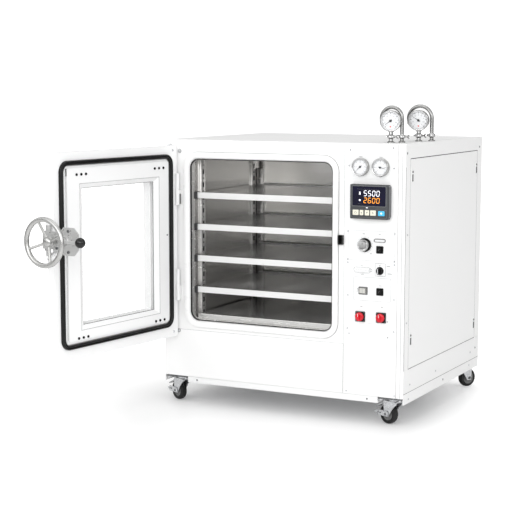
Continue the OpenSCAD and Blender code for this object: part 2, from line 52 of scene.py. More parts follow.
def rot2(x, y, cx, cy, deg):
    a = math.radians(deg)
    dx, dy = x - cx, y - cy
    return cx + dx * math.cos(a) - dy * math.sin(a), cy + dx * math.sin(a) + dy * math.cos(a)


def door(p):
    x, y = rot2(p[0], p[1], 70, -16, -96.5)
    return cab((x, y, p[2]))


CP = (781.0, -36.0)


def clamp(p):
    x, y = rot2(p[0], p[1], CP[0], CP[1], 90)
    return door((x, y, p[2]))


CS = {"fl": (52, 50, 154), "fr": (948, 50, 158), "rl": (52, D - 50, 110), "rr": (948, D - 50, 60)}


def caster(k):
    cx, cy, a = CS[k]

    def f(p):
        x, y = rot2(p[0] + cx, p[1] + cy, cx, cy, a)
        return cab((x, y, p[2]))
    return f


TG = [(904, 92, 1024), (950, 252, 1023)]


def topg(i):
    gx, gy, gz = TG[i]

    def f(p):
        x, y = rot2(p[0] + gx, p[1] + gy, gx, gy, 12)
        return cab((x, y, p[2] + gz))
    return f


# ------------------------------------------------------------------ materials
def _nt(name):
    m = bpy.data.materials.new(name)
    m.use_nodes = True
    nt = m.node_tree
    return m, nt, nt.nodes["Principled BSDF"]


def _noise(nt, scale, detail=3.0, stretch=(1, 1, 1), rough=0.5):
    tc = nt.nodes.new("ShaderNodeTexCoord")
    mp = nt.nodes.new("ShaderNodeMapping")
    mp.inputs["Scale"].default_value = stretch
    nz = nt.nodes.new("ShaderNodeTexNoise")
    nz.inputs["Scale"].default_value = scale
    nz.inputs["Detail"].default_value = detail
    nz.inputs["Roughness"].default_value = rough
    nt.links.new(tc.outputs["Object"], mp.inputs["Vector"])
    nt.links.new(mp.outputs["Vector"], nz.inputs["Vector"])
    return nz


def _ramp(nt, src, stops):
    r = nt.nodes.new("ShaderNodeValToRGB")
    e = r.color_ramp.elements
    while len(e) < len(stops):
        e.new(0.5)
    for k, (pos, c) in enumerate(stops):
        e[k].position = pos
        e[k].color = (*c, 1) if len(c) == 3 else c
    nt.links.new(src, r.inputs["Fac"])
    return r


def _range(nt, src, a, b, lo_=0.3, hi_=0.7):
    r = nt.nodes.new("ShaderNodeMapRange")
    r.inputs["From Min"].default_value = lo_
    r.inputs["From Max"].default_value = hi_
    r.inputs["To Min"].default_value = a
    r.inputs["To Max"].default_value = b
    nt.links.new(src, r.inputs["Value"])
    return r


def _bump(nt, b, src, strength, dist):
    bp = nt.nodes.new("ShaderNodeBump")
    bp.inputs["Strength"].default_value = strength
    bp.inputs["Distance"].default_value = dist
    nt.links.new(src, bp.inputs["Height"])
    nt.links.new(bp.outputs["Normal"], b.inputs["Normal"])
    return bp


def mixc(c, f):
    return tuple(min(1, x * f) for x in c)


def mat(name, col, rough=0.4, metal=0.0, var=0.03, vscale=6.0, rvar=0.06, rscale=30.0, bump=0.1, bscale=900.0,
        bdist=0.0001, stretch=(1, 1, 1), bstretch=(1, 1, 1), coat=0.0, ior=None, spec=None, sheen=0.0):
    m, nt, b = _nt(name)
    n1 = _noise(nt, vscale, 4.0, stretch)
    r1 = _ramp(nt, n1.outputs["Fac"], [(0.3, mixc(col, 1 - var)), (0.55, col), (0.75, mixc(col, 1 + var))])
    nt.links.new(r1.outputs["Color"], b.inputs["Base Color"])
    n2 = _noise(nt, rscale, 3.0, stretch)
    r2 = _range(nt, n2.outputs["Fac"], max(0.02, rough - rvar), rough + rvar)
    nt.links.new(r2.outputs["Result"], b.inputs["Roughness"])
    if bump > 0:
        n3 = _noise(nt, bscale, 2.0, bstretch)
        _bump(nt, b, n3.outputs["Fac"], bump, bdist)
    b.inputs["Metallic"].default_value = metal
    if coat:
        b.inputs["Coat Weight"].default_value = coat
        b.inputs["Coat Roughness"].default_value = 0.08
    if spec is not None:
        b.inputs["Specular IOR Level"].default_value = spec
    if sheen:
        b.inputs["Sheen Weight"].default_value = sheen
    m.diffuse_color = (*col, 1)
    return m


M = {}
M["white"] = mat("powder_white", (0.925, 0.925, 0.922), 0.38, var=0.005, vscale=2.5, rvar=0.012, rscale=12, bump=0.16, bscale=1600, bdist=0.00003, spec=0.4)
M["white_in"] = mat("powder_white_door", (0.915, 0.917, 0.918), 0.36, var=0.005, vscale=3, rvar=0.012, rscale=14, bump=0.16, bscale=1600, bdist=0.00003, spec=0.4)
M["plate"] = mat("label_plate", (0.90, 0.905, 0.905), 0.34, var=0.008, vscale=9, rvar=0.05, bump=0.12, bscale=2200, bdist=0.00004)
M["ring"] = mat("flange_enamel", (0.93, 0.93, 0.928), 0.28, var=0.004, vscale=5, rvar=0.012, bump=0.1, bscale=1100, bdist=0.00003, coat=0.15)
M["stainless"] = mat("satin_stainless", (0.62, 0.61, 0.60), 0.32, 0.7, var=0.04, vscale=3, rvar=0.06, rscale=8, bump=0.15, bscale=700, bdist=0.00005, bstretch=(1, 1, 0.06))
M["wall"] = mat("liner_stainless", (0.70, 0.69, 0.67), 0.24, 0.8, var=0.02, vscale=2.2, rvar=0.03, rscale=4, bump=0.06, bscale=500, bdist=0.00003, bstretch=(1, 1, 0.05))
M["shelf"] = mat("shelf_steel", (0.36, 0.355, 0.35), 0.20, 0.72, var=0.03, vscale=60, rvar=0.03, rscale=90, bump=0.05, bscale=900, bdist=0.00003, bstretch=(0.05, 1, 1))


def speckle(m, pitch, col, lo, hi, rnd):
    nt = m.node_tree
    b = [n for n in nt.nodes if n.type == "BSDF_PRINCIPLED"][0]
    src = b.inputs["Base Color"].links[0].from_socket
    tc = nt.nodes.new("ShaderNodeTexCoord")
    v = nt.nodes.new("ShaderNodeTexVoronoi")
    v.voronoi_dimensions = "2D"
    v.inputs["Scale"].default_value = 1.0 / pitch
    v.inputs["Randomness"].default_value = rnd
    nt.links.new(tc.outputs["Object"], v.inputs["Vector"])
    r = _ramp(nt, v.outputs["Distance"], [(lo, (1, 1, 1)), (hi, (0, 0, 0))])
    mx = nt.nodes.new("ShaderNodeMix")
    mx.data_type = "RGBA"
    nt.links.new(r.outputs["Color"], mx.inputs[0])
    nt.links.new(src, mx.inputs[6])
    mx.inputs[7].default_value = (*col, 1)
    nt.links.new(mx.outputs[2], b.inputs["Base Color"])


speckle(M["shelf"], 0.013, (0.86, 0.85, 0.83), 0.16, 0.30, 0.18)
M["lip"] = mat("lip_bright", (0.84, 0.84, 0.835), 0.34, 0.2, var=0.012, vscale=30, rvar=0.02, rscale=60, bump=0.02, bscale=900, bdist=0.00002, bstretch=(0.04, 1, 1))
M["tray"] = mat("tray_lip", (0.74, 0.735, 0.72), 0.24, 0.6, var=0.03, vscale=20, rvar=0.05, rscale=40, bump=0.08, bscale=700, bdist=0.00004, stretch=(0.3, 1, 4), bstretch=(0.03, 1, 1))
M["upright"] = mat("upright_bright", (0.82, 0.815, 0.80), 0.25, 0.6, var=0.015, vscale=60, rvar=0.03, rscale=90, bump=0.05, bscale=900, bdist=0.00003, bstretch=(1, 1, 0.05))
M["chrome"] = mat("polished_steel", (0.56, 0.56, 0.56), 0.12, 1.0, var=0.03, vscale=30, rvar=0.03, rscale=60, bump=0.03, bscale=500, bdist=0.00003)
M["chrome_d"] = mat("polished_tube", (0.36, 0.36, 0.355), 0.15, 1.0, var=0.05, vscale=24, rvar=0.04, rscale=70, bump=0.03, bscale=400, bdist=0.00003)
M["zinc"] = mat("bright_zinc", (0.66, 0.67, 0.685), 0.27, 0.85, var=0.10, vscale=55, rvar=0.10, rscale=90, bump=0.12, bscale=300, bdist=0.00008)
M["zinc_d"] = mat("zinc_shade", (0.20, 0.205, 0.21), 0.34, 0.8, var=0.12, vscale=60, rvar=0.08, rscale=90, bump=0.12, bscale=300, bdist=0.00005)
M["alu"] = mat("satin_aluminium", (0.52, 0.52, 0.51), 0.28, 0.95, var=0.03, vscale=26, rvar=0.05, rscale=50, bump=0.12, bscale=700, bdist=0.00006)
M["alu_w"] = mat("painted_casting", (0.60, 0.60, 0.595), 0.32, 0.6, var=0.02, vscale=22, rvar=0.06, rscale=50, bump=0.15, bscale=600, bdist=0.00006)
M["dark"] = mat("dark_oxide", (0.045, 0.045, 0.047), 0.42, 0.55, var=0.2, vscale=60, rvar=0.1, rscale=90, bump=0.2, bscale=500, bdist=0.0001)
M["grey"] = mat("bezel_grey", (0.062, 0.065, 0.070), 0.42, 0, var=0.07, vscale=40, rvar=0.05, rscale=120, bump=0.25, bscale=2600, bdist=0.00005, spec=0.3)
# lighter grey for bezel edges; it also paints the highlight stripe on the alarm and reset caps
M["grey_l"] = mat("bezel_edge_and_painted_highlight", (0.12, 0.125, 0.13), 0.38, 0, var=0.06, vscale=40, rvar=0.05, bump=0.2, bscale=2600, bdist=0.00005, spec=0.35)
M["black"] = mat("black_plastic", (0.005, 0.005, 0.005), 0.24, 0, var=0.25, vscale=50, rvar=0.06, rscale=100, bump=0.08, bscale=1800, bdist=0.00004, spec=0.25)
M["ball"] = mat("black_ball", (0.004, 0.004, 0.004), 0.08, 0, var=0.3, vscale=30, rvar=0.03, rscale=70, bump=0.02, bscale=400, bdist=0.00003, spec=0.45)
M["rubber"] = mat("seal_rubber", (0.004, 0.004, 0.004), 0.34, 0, var=0.3, vscale=20, rvar=0.06, rscale=60, bump=0.12, bscale=900, bdist=0.00005, spec=0.32)
# grey bead strips and rings; those round the flange ring, the window bezel and the inner door panel are painted shade
# lines
M["bead"] = mat("sealant_grey_and_painted_shade", (0.36, 0.36, 0.36), 0.5, 0, var=0.1, vscale=40, rvar=0.06, bump=0.3, bscale=600, bdist=0.0001)
# painted shade: dark colour for slots, holes, vents, recesses and edge lines where shade falls
M["shadow"] = mat("painted_shade_dark", (0.03, 0.03, 0.03), 0.7, 0, var=0.2, vscale=50, rvar=0.05, bump=0.2, bscale=800, bdist=0.0001, spec=0.2)
# grey for seams, the glass seal and small recesses; the door's groove line and the strip at the upper hinge are
# painted shade
M["gap"] = mat("gap_grey_and_painted_shade", (0.20, 0.20, 0.20), 0.6, 0, var=0.1, vscale=50, rvar=0.05, bump=0.2, bscale=800, bdist=0.0001, spec=0.2)
M["tyre"] = mat("tyre_rubber", (0.010, 0.010, 0.010), 0.46, 0, var=0.35, vscale=55, rvar=0.1, rscale=120, bump=0.3, bscale=700, bdist=0.0001, spec=0.35)
M["hub"] = mat("hub_grey", (0.16, 0.16, 0.16), 0.42, 0, var=0.15, vscale=50, rvar=0.08, rscale=110, bump=0.3, bscale=900, bdist=0.0001)
M["red"] = mat("switch_red", (0.66, 0.008, 0.022), 0.22, 0, var=0.08, vscale=35, rvar=0.05, rscale=100, bump=0.06, bscale=1600, bdist=0.00004, spec=0.45)
M["cream"] = mat("key_cream", (0.80, 0.78, 0.66), 0.46, 0, var=0.03, vscale=60, rvar=0.05, bump=0.25, bscale=2400, bdist=0.00006)
M["lampc"] = mat("rocker_cream", (0.60, 0.595, 0.56), 0.36, 0, var=0.04, vscale=60, rvar=0.06, bump=0.2, bscale=2400, bdist=0.00004)
M["cyan"] = mat("key_cyan", (0.06, 0.52, 0.86), 0.42, 0, var=0.05, vscale=60, rvar=0.05, bump=0.25, bscale=2400, bdist=0.00006)
M["navy"] = mat("display_navy", (0.004, 0.004, 0.022), 0.14, 0, var=0.3, vscale=30, rvar=0.04, rscale=60, bump=0.02, bscale=300, bdist=0.00003, spec=0.3)
M["dial"] = mat("dial_white", (0.86, 0.87, 0.885), 0.45, 0, var=0.012, vscale=60, rvar=0.05, bump=0.08, bscale=2600, bdist=0.00003)
M["ink"] = mat("ink_dark", (0.03, 0.03, 0.032), 0.5, 0, var=0.2, vscale=90, rvar=0.05, bump=0.05, bscale=2000, bdist=0.00003)
M["ink_g"] = mat("ink_grey", (0.16, 0.165, 0.17), 0.5, 0, var=0.1, vscale=90, rvar=0.05, bump=0.05, bscale=2000, bdist=0.00003)
M["ink_l"] = mat("ink_light", (0.40, 0.405, 0.41), 0.5, 0, var=0.06, vscale=90, rvar=0.05, bump=0.05, bscale=2000, bdist=0.00003)
M["ink_r"] = mat("ink_red", (0.80, 0.16, 0.14), 0.5, 0, var=0.1, vscale=90, rvar=0.05, bump=0.05, bscale=2000, bdist=0.00003)
M["wool"] = mat("mineral_wool", (0.62, 0.55, 0.36), 0.9, 0, var=0.18, vscale=40, rvar=0.05, bump=0.8, bscale=220, bdist=0.001, sheen=0.2)
M["heater"] = mat("heater_mat", (0.60, 0.16, 0.07), 0.6, 0, var=0.1, vscale=30, rvar=0.08, bump=0.5, bscale=400, bdist=0.0003)
M["gland"] = mat("gland_plastic", (0.02, 0.02, 0.021), 0.38, 0, var=0.2, vscale=50, rvar=0.07, bump=0.25, bscale=1200, bdist=0.0001)


def glow(name, col, s):
    m, nt, b = _nt(name)
    n = _noise(nt, 220, 2)
    r = _ramp(nt, n.outputs["Fac"], [(0.3, mixc(col, 0.93)), (0.7, col)])
    nt.links.new(r.outputs["Color"], b.inputs["Base Color"])
    b.inputs["Roughness"].default_value = 0.5
    b.inputs["Emission Color"].default_value = (*col, 1)
    b.inputs["Emission Strength"].default_value = s
    m.diffuse_color = (*col, 1)
    return m


M["digit_w"] = glow("digit_white", (0.93, 0.94, 1.0), 0.55)
M["digit_o"] = glow("digit_orange", (1.0, 0.36, 0.03), 0.55)


def glass_mat():
    m, nt, b = _nt("door_glass_clear")
    # the whitish veil with streaky opacity is painted reflection streaks on the glass
    n = _noise(nt, 2.2, 3, (0.5, 0.5, 3.0))
    r = _range(nt, n.outputs["Fac"], 0.045, 0.11)
    nt.links.new(r.outputs["Result"], b.inputs["Alpha"])
    b.inputs["Base Color"].default_value = (0.93, 0.94, 0.94, 1)
    n2 = _noise(nt, 20, 2)
    r2 = _range(nt, n2.outputs["Fac"], 0.03, 0.08)
    nt.links.new(r2.outputs["Result"], b.inputs["Roughness"])
    m.diffuse_color = (0.9, 0.95, 0.96, 0.2)
    return m


M["glass"] = glass_mat()


# ------------------------------------------------------------------ mesh helpers
def sharp(me, deg=34):
    me.polygons.foreach_set("use_smooth", [True] * len(me.polygons))
    me.set_sharp_from_angle(angle=math.radians(deg))


class Piece:
    def __init__(self, name, T=cab):
        self.name, self.T, self.v, self.f, self.mi, self.mats = name, T, [], [], [], []

    def m(self, key):
        if key not in self.mats:
            self.mats.append(key)
        return self.mats.index(key)

    def add(self, vs, fs, key):
        o, k = len(self.v), self.m(key)
        self.v += [tuple(p) for p in vs]
        self.f += [tuple(o + i for i in q) for q in fs]
        self.mi += [k] * len(fs)

    def bm(self, bmh, key):
        bmh.verts.ensure_lookup_table()
        bmh.verts.index_update()
        self.add([v.co[:] for v in bmh.verts], [[v.index for v in q.verts] for q in bmh.faces], key)
        bmh.free()

    def box(self, a, b, key, r=0.0, seg=2):
        bmh = bmesh.new()
        bmesh.ops.create_cube(bmh, size=1.0)
        for v in bmh.verts:
            v.co = Vector([(a[i] + b[i]) / 2 + v.co[i] * (b[i] - a[i]) for i in range(3)])
        if r > 0:
            r = min(r, 0.49 * min(abs(b[i] - a[i]) for i in range(3)))
            bmesh.ops.bevel(bmh, geom=list(bmh.edges), offset=r, segments=seg, profile=0.5, affect="EDGES")
        self.bm(bmh, key)

    def prism(self, poly, y0, y1, key, r=0.0, seg=1, axis="y"):
        """outline in x and z, from y0 to y1 (axis y), or in x and y (axis z), or in y and z (axis x)"""
        bmh = bmesh.new()
        put = {"y": lambda p, t: (p[0], t, p[1]), "z": lambda p, t: (p[0], p[1], t), "x": lambda p, t: (t, p[0], p[1])}[axis]
        lo_ = [bmh.verts.new(put(p, y0)) for p in poly]
        up = [bmh.verts.new(put(p, y1)) for p in poly]
        n = len(poly)
        bmh.faces.new(lo_)
        bmh.faces.new(up[::-1])
        for i in range(n):
            bmh.faces.new((lo_[i], up[i], up[(i + 1) % n], lo_[(i + 1) % n]))
        bmesh.ops.recalc_face_normals(bmh, faces=list(bmh.faces))
        if r > 0:
            es = [e for e in bmh.edges if all(v in set(lo_) for v in e.verts) or all(v in set(up) for v in e.verts)]
            bmesh.ops.bevel(bmh, geom=es, offset=r, segments=seg, profile=0.5, affect="EDGES")
        self.bm(bmh, key)

    def lathe(self, prof, c, axis, key, n=48, keys=None, a0=0.0):
        """prof: (radius, distance along the axis) from one end to the other"""
        ax = {"x": (Vector((1, 0, 0)), Vector((0, 1, 0)), Vector((0, 0, 1))), "y": (Vector((0, 1, 0)), Vector((0, 0, 1)), Vector((1, 0, 0))), "z": (Vector((0, 0, 1)), Vector((1, 0, 0)), Vector((0, 1, 0)))}.get(axis) or axis
        c = Vector(c)
        rings = []
        vs = []
        for r, t in prof:
            if r < 1e-6:
                rings.append([len(vs)])
                vs.append(c + ax[0] * t)
            else:
                rings.append(list(range(len(vs), len(vs) + n)))
                for i in range(n):
                    a = a0 + 2 * math.pi * i / n
                    vs.append(c + ax[0] * t + ax[1] * (r * math.cos(a)) + ax[2] * (r * math.sin(a)))
        fsall = []
        for k in range(len(rings) - 1):
            A, B, fs = rings[k], rings[k + 1], []
            if len(A) == 1 and len(B) == 1:
                continue
            for i in range(n):
                j = (i + 1) % n
                if len(A) == 1:
                    fs.append((A[0], B[j], B[i]))
                elif len(B) == 1:
                    fs.append((A[i], A[j], B[0]))
                else:
                    fs.append((A[i], A[j], B[j], B[i]))
            fsall.append((fs, keys[k] if keys else key))
        o = len(self.v)
        self.v += [tuple(p) for p in vs]
        for fs, kk in fsall:
            ki = self.m(kk)
            self.f += [tuple(o + i for i in q) for q in fs]
            self.mi += [ki] * len(fs)

    def loop(self, path, prof, key, keys=None):
        """path: closed list of (x, z, nx, nz); prof: closed list of (outward offset, y)"""
        n, k = len(path), len(prof)
        o = len(self.v)
        for x, z, nx, nz in path:
            for q in prof:
                self.v.append((x + nx * q[0], q[1], z + nz * q[0]))
        for i in range(n):
            j = (i + 1) % n
            for a in range(k):
                b = (a + 1) % k
                self.f.append((o + i * k + a, o + i * k + b, o + j * k + b, o + j * k + a))
                self.mi.append(self.m(keys[a] if keys else key))

    def tube(self, pts, r, key, n=12):
        pts = [Vector(p) for p in pts]
        vs, fs = [], []
        ref = None
        for i, p in enumerate(pts):
            d = (pts[min(i + 1, len(pts) - 1)] - pts[max(i - 1, 0)]).normalized()
            if ref is None:
                ref = d.orthogonal().normalized()
            u = (ref - d * ref.dot(d)).normalized()
            w = d.cross(u)
            ref = u
            for k in range(n):
                a = 2 * math.pi * k / n
                vs.append(p + u * (r * math.cos(a)) + w * (r * math.sin(a)))
        for i in range(len(pts) - 1):
            for k in range(n):
                j = (k + 1) % n
                fs.append((i * n + k, i * n + j, (i + 1) * n + j, (i + 1) * n + k))
        fs.append(tuple(range(n))[::-1])
        fs.append(tuple((len(pts) - 1) * n + k for k in range(n)))
        self.add(vs, fs, key)

    def done(self, body, replaces=(), deg=34):
        me = bpy.data.meshes.new(self.name)
        me.from_pydata([self.T(p) for p in self.v], [], self.f)
        for k in self.mats:
            me.materials.append(M[k])
        me.polygons.foreach_set("material_index", self.mi)
        b = bmesh.new()
        b.from_mesh(me)
        bmesh.ops.recalc_face_normals(b, faces=list(b.faces))
        b.to_mesh(me)
        b.free()
        sharp(me, deg)
        me.update()
        o = bpy.data.objects.new(self.name, me)
        bpy.context.scene.collection.objects.link(o)
        if replaces:
            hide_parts(*replaces)
        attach(o, body)
        return o


def rrpath(x0, z0, x1, z1, r, n=10):
    out = []
    for cx, cz, a0 in ((x1 - r, z1 - r, 0), (x0 + r, z1 - r, 90), (x0 + r, z0 + r, 180), (x1 - r, z0 + r, 270)):
        for i in range(n + 1):
            a = math.radians(a0 + 90 * i / n)
            out.append((cx + r * math.cos(a), cz + r * math.sin(a), math.cos(a), math.sin(a)))
    return out


def rectpath(x0, z0, x1, z1):
    s = 1.0
    return [(x1, z1, s, s), (x0, z1, -s, s), (x0, z0, -s, -s), (x1, z0, s, -s)]


def rrpoly(x0, z0, x1, z1, r, n=6):
    return [(p[0], p[1]) for p in rrpath(x0, z0, x1, z1, r, n)]


def circ(cx, cz, r, n=32):
    return [(cx + r * math.cos(2 * math.pi * i / n), cz + r * math.sin(2 * math.pi * i / n)) for i in range(n)]


def screw(P, c, axis, out, r, h, key="zinc", n=20, socket=None):
    """domed head; out is +1 or -1 along the axis, c on the surface"""
    s = out
    if socket:
        P.lathe([(r, 0), (r, s * h * 0.72), (r * 0.86, s * h), (socket, s * h), (socket * 0.92, s * h * 0.45), (0, s * h * 0.45)], c, axis, key, n)
    else:
        P.lathe([(r, -s * 0.3), (r, s * h * 0.3), (r * 0.9, s * h * 0.65), (r * 0.62, s * h * 0.93), (r * 0.2, s * h), (r * 0.14, s * h * 0.6), (0, s * h * 0.6)], c, axis, key, n)


# ------------------------------------------------------------------ CAD nodes that keep their shape
def give(node, *keys):
    me = N[node].data
    me.materials.clear()
    for k in keys:
        me.materials.append(M[k])


def split(node, rule):
    me = N[node].data
    for p in me.polygons:
        c = sum((me.vertices[i].co for i in p.vertices), Vector()) / len(p.vertices)
        p.material_index = rule(((c.x - OX) * 1000, (c.y - OY) * 1000, (c.z - OZ) * 1000))


for n_ in ("frame_bars", "side_panels", "rear_panel", "top_panel", "front_panel", "lower_front_cover", "control_panel", "service_panel"):
    give(n_, "white")
give("base_pan", "zinc")
give("instrument_plates", "plate")
give("chamber_shell", "wall")
give("insulation", "wool")
give("wall_heaters", "heater")
give("vacuum_pipework", "stainless")
give("cable_gland", "gland")
give("panel_screws", "zinc")
give("gauge_tubes", "chrome_d")
give("top_gauges", "chrome")
give("panel_gauges", "chrome")
for n_ in ("door_casing", "door_inner_panel"):
    give(n_, "white_in")
give("door_glass", "glass")
give("clamp_yoke", "alu_w")
give("handwheel", "alu")
give("draw_hook", "dark")
for n_ in ("panel_needle_left", "panel_needle_right", "top_needle_front", "top_needle_rear"):
    give(n_, "ink")
for k in ("fl", "fr", "rl", "rr"):
    give("caster_fork_" + k, "zinc")
for k in ("fl", "fr"):
    give("brake_pedal_" + k, "zinc")
give("door_fittings", "white", "black")
split("door_fittings", lambda p: 1 if p[0] > 400 else 0)
give("ball_lever", "alu_w", "ball")
bl_lo, bl_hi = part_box("ball_lever")
BALL = clamp((781 + 91 + 79, -36 - 30, 625))
me_ = N["ball_lever"].data
for p_ in me_.polygons:
    c_ = sum((me_.vertices[i].co for i in p_.vertices), Vector()) / len(p_.vertices)
    p_.material_index = 1 if (c_ - BALL).length < 0.0184 and (c_ - BALL).length > 0.0135 else 0

# ------------------------------------------------------------------ chamber mouth
P = Piece("flange_ring_formed")
prof = [(0, 0), (0, -8.0), (-1.0, -10.6), (-3.4, -12), (-11, -12)]
for i in range(1, 9):
    a = math.radians(90 * i / 8)
    prof.append((-12 - 11.6 * math.sin(a), -0.4 - 11.6 * math.cos(a)))
prof += [(-24, 0)]
P.loop(rrpath(93, 224, 741, 898, 60, 14), prof, "ring")
P.done("cabinet", ("flange_ring",), 40)

# grey bead round the flange ring: painted shade in the gap between the ring and the front panel
P = Piece("flange_gap_shade_line")
P.loop(rrpath(93, 224, 741, 898, 60, 14), [(-0.1, 0.4), (-0.1, -2.2), (1.0, -1.6), (2.0, 0.4)], "bead")
P.done("cabinet")

P = Piece("liner_trim_and_shade_line")
# the dark strip at the liner's front edge is painted shade; the bright loop behind it is the liner trim
P.loop(rrpath(118.2, 249.2, 715.8, 872.8, 36, 12), [(0, 1.0), (0, 7.0), (-2.2, 7.0), (-2.2, 1.0)], "shadow")
P.loop(rrpath(117.6, 248.6, 716.4, 873.4, 20, 10), [(-0.2, 9), (-0.2, 34), (-2.0, 34), (-2.6, 9)], "upright")
P.done("cabinet")

# ------------------------------------------------------------------ chamber inside
P = Piece("shelf_uprights_formed")
SZ = [742, 620, 498, 376, 270]
for y in (74, 500):
    for s in (0, 1):
        x0 = 117.3 if s == 0 else 716.7
        d = 1 if s == 0 else -1

        def bx(xa, xb, ya, yb, za, zb, key, r=0.4):
            P.box((min(x0 + d * xa, x0 + d * xb), ya, za), (max(x0 + d * xa, x0 + d * xb), yb, zb), key, r)
        bx(6.6, 8, y, y + 30, 254, 864, "upright")
        for ya in (y, y + 27.6):
            bx(0, 7.6, ya, ya + 2.4, 254, 864, "upright", 0.8)
        k = 0
        z = 268.0
        while z < 850:
            if k % 2 == 0:
                P.prism([(y + 15 + 5.6 * (a if b < 2 else -a) * 1.0, z + c) for a, b, c in ((1, 0, -9), (1, 1, 9))] + [(y + 15 - 5.6, z + 9), (y + 15 - 5.6, z - 9)], x0 + d * 7.6, x0 + d * 8.3, "shadow", axis="x")
            else:
                P.lathe([(3.6, 0), (3.6, d * 0.7), (0, d * 0.7)], (x0 + d * 7.6, y + 15, z), "x", "shadow", 16)
            z += 25
            k += 1
        for zz in SZ:
            bx(7.6, 23.6, y + 4, y + 26, zz - 5.4, zz - 2.3, "upright", 0.8)
            bx(8, 10.4, y + 4, y + 26, zz - 24, zz - 3, "upright", 0.8)
            bx(8, 17, y + 8, y + 10.5, zz - 22, zz - 5, "upright", 0.6)
            bx(8, 17, y + 20, y + 22.5, zz - 22, zz - 5, "upright", 0.6)
P.done("cabinet", ("shelf_uprights",))

P = Piece("rear_wall_column")
for x0, d in ((118, 1), (716, -1)):
    xa, xb = sorted((x0 + d * 2, x0 + d * 30))
    P.box((xa, 552, 252), (xb, 559.7, 808 if d > 0 else 808), "stainless", 1.2)
    for z in (330, 450, 512, 635, 765):
        P.lathe([(5.2, 0), (5.2, -1.0), (4.2, -2.4), (2.0, -3.2), (0, -3.4)], (x0 + d * 14, 552.2, z), "y", "chrome", 18)
for z in (300, 420, 560, 700, 840):
    P.lathe([(3.4, 0), (3.2, -1.0), (1.6, -1.8), (0, -2.0)], (417, 559.9, z), "y", "upright", 14)
P.done("cabinet")


def shelf_mesh(name, z, lip, body, node, tray=False):
    P = Piece(name)
    x0, x1, y0, y1 = 131.5, 702.5, 35.0, 535.0
    t = 1.8
    # perforated field of hexagonal holes
    nx, ny = (44, 36)
    mx, my = 17.0, 26.0
    fx0, fx1, fy0, fy1 = x0 + mx, x1 - mx, y0 + my, y1 - 12
    cx_, cy_ = (fx1 - fx0) / nx, (fy1 - fy0) / ny
    vs, fs = [], []
    idx = {}

    def vid(key, p):
        if key not in idx:
            idx[key] = len(vs)
            vs.append(p)
        return idx[key]
    R = 3.7
    for i in range(nx):
        for j in range(ny):
            ccx, ccy = fx0 + (i + 0.5) * cx_, fy0 + (j + 0.5) * cy_
            for lv, zz in ((0, z), (1, z - t)):
                c4 = [vid(("c", lv, i + a, j + b), (fx0 + (i + a) * cx_, fy0 + (j + b) * cy_, zz)) for a, b in ((0, 0), (1, 0), (1, 1), (0, 1))]
                h = [vid(("h", lv, i, j, k), (ccx + R * math.cos(math.radians(a)), ccy + R * math.sin(math.radians(a)), zz)) for k, a in enumerate((225, 270, 315, 0, 45, 90, 135, 180))]
                q = [(c4[0], c4[1], h[2], h[1], h[0]), (c4[1], c4[2], h[4], h[3], h[2]), (c4[2], c4[3], h[6], h[5], h[4]), (c4[3], c4[0], h[0], h[7], h[6])]
                fs += q if lv == 0 else [f[::-1] for f in q]
                if lv == 0:
                    ht = h
                else:
                    for k in range(8):
                        fs.append((ht[k], ht[(k + 1) % 8], h[(k + 1) % 8], h[k]))
    # plain margin round the field, sharing its edge vertices
    for lv, zz in ((0, z), (1, z - t)):
        o = [vid(("o", lv, k), p) for k, p in enumerate(((x0, y0 + 1.0, zz), (x1, y0 + 1.0, zz), (x1, y1 - 1.0, zz), (x0, y1 - 1.0, zz)))]
        edges = [[idx[("c", lv, i, 0)] for i in range(nx + 1)], [idx[("c", lv, nx, j)] for j in range(ny + 1)],
                 [idx[("c", lv, i, ny)] for i in range(nx, -1, -1)], [idx[("c", lv, 0, j)] for j in range(ny, -1, -1)]]
        for k in range(4):
            f = [o[k], o[(k + 1) % 4]] + edges[k][::-1]
            fs.append(tuple(f) if lv == 0 else tuple(f[::-1]))
        if lv == 0:
            ot = o
        else:
            for k in range(4):
                fs.append((ot[(k + 1) % 4], ot[k], o[k], o[(k + 1) % 4]))
    P.add(vs, fs, "shelf")
    # front lip: folded sheet with a hem bead along the top and the bottom
    lk = "tray" if tray else "lip"
    xa, xb = x0 - (0 if tray else 5.4), x1
    zb = z - lip + (0 if tray else 1.2)
    pr = [(37.0, z - 0.2), (36.0, z + 0.2), (35.0, z - 0.3), (34.5, z - 1.4), (34.5, z - 4.2), (35.2, z - 4.8), (35.2, z - 5.6), (34.6, z - 6.2),
          (34.6, zb + 3.0), (35.2, zb + 2.5), (34.5, zb + 1.4), (35.0, zb + 0.2), (36.0, zb), (37.0, zb + 0.6), (37.0, z - 2)]
    P.prism(pr, xa, xb, lk, 0, 1, "x")
    # end returns of the lip, and the rear lip
    P.box((xb - 1.6, 34.6, zb), (xb, 62, z - 0.2), "lip", 0.5)
    P.box((xa, 34.6, zb), (xa + 1.6, 62, z - 0.2), lk, 0.5)
    P.box((xa + 12, 533, z - lip), (xb - 12, 535, z - 1.6), "upright", 0.6)
    if not tray:
        P.box((xa + 12, 533, z - 1.8), (xb - 12, 534.8, z + 3.6), "lip", 0.4)
    P.box((xa + 9, y0 + 4, z - 7), (xa + 10.4, y1 - 4, z - 1.5), "shelf", 0.4)
    P.box((xb - 10.4, y0 + 4, z - 7), (xb - 9, y1 - 4, z - 1.5), "shelf", 0.4)
    P.done(body, (node,))


for i in range(4):
    shelf_mesh("shelf_%d_perforated" % (i + 1), SZ[i], 24, "shelf_%d" % (i + 1), "shelf_%d" % (i + 1))
shelf_mesh("floor_tray_perforated", SZ[4], 19.5, "tray", "floor_tray", True)

P = Piece("shelf_end_blocks")
for zz in SZ[:4]:
    P.box((118.6, 26, zz - 25), (129.8, 60, zz + 1.5), "dark", 1.5)
    P.box((704.4, 30, zz - 25), (715.6, 60, zz + 1.5), "upright", 1.5)
P.done("cabinet")

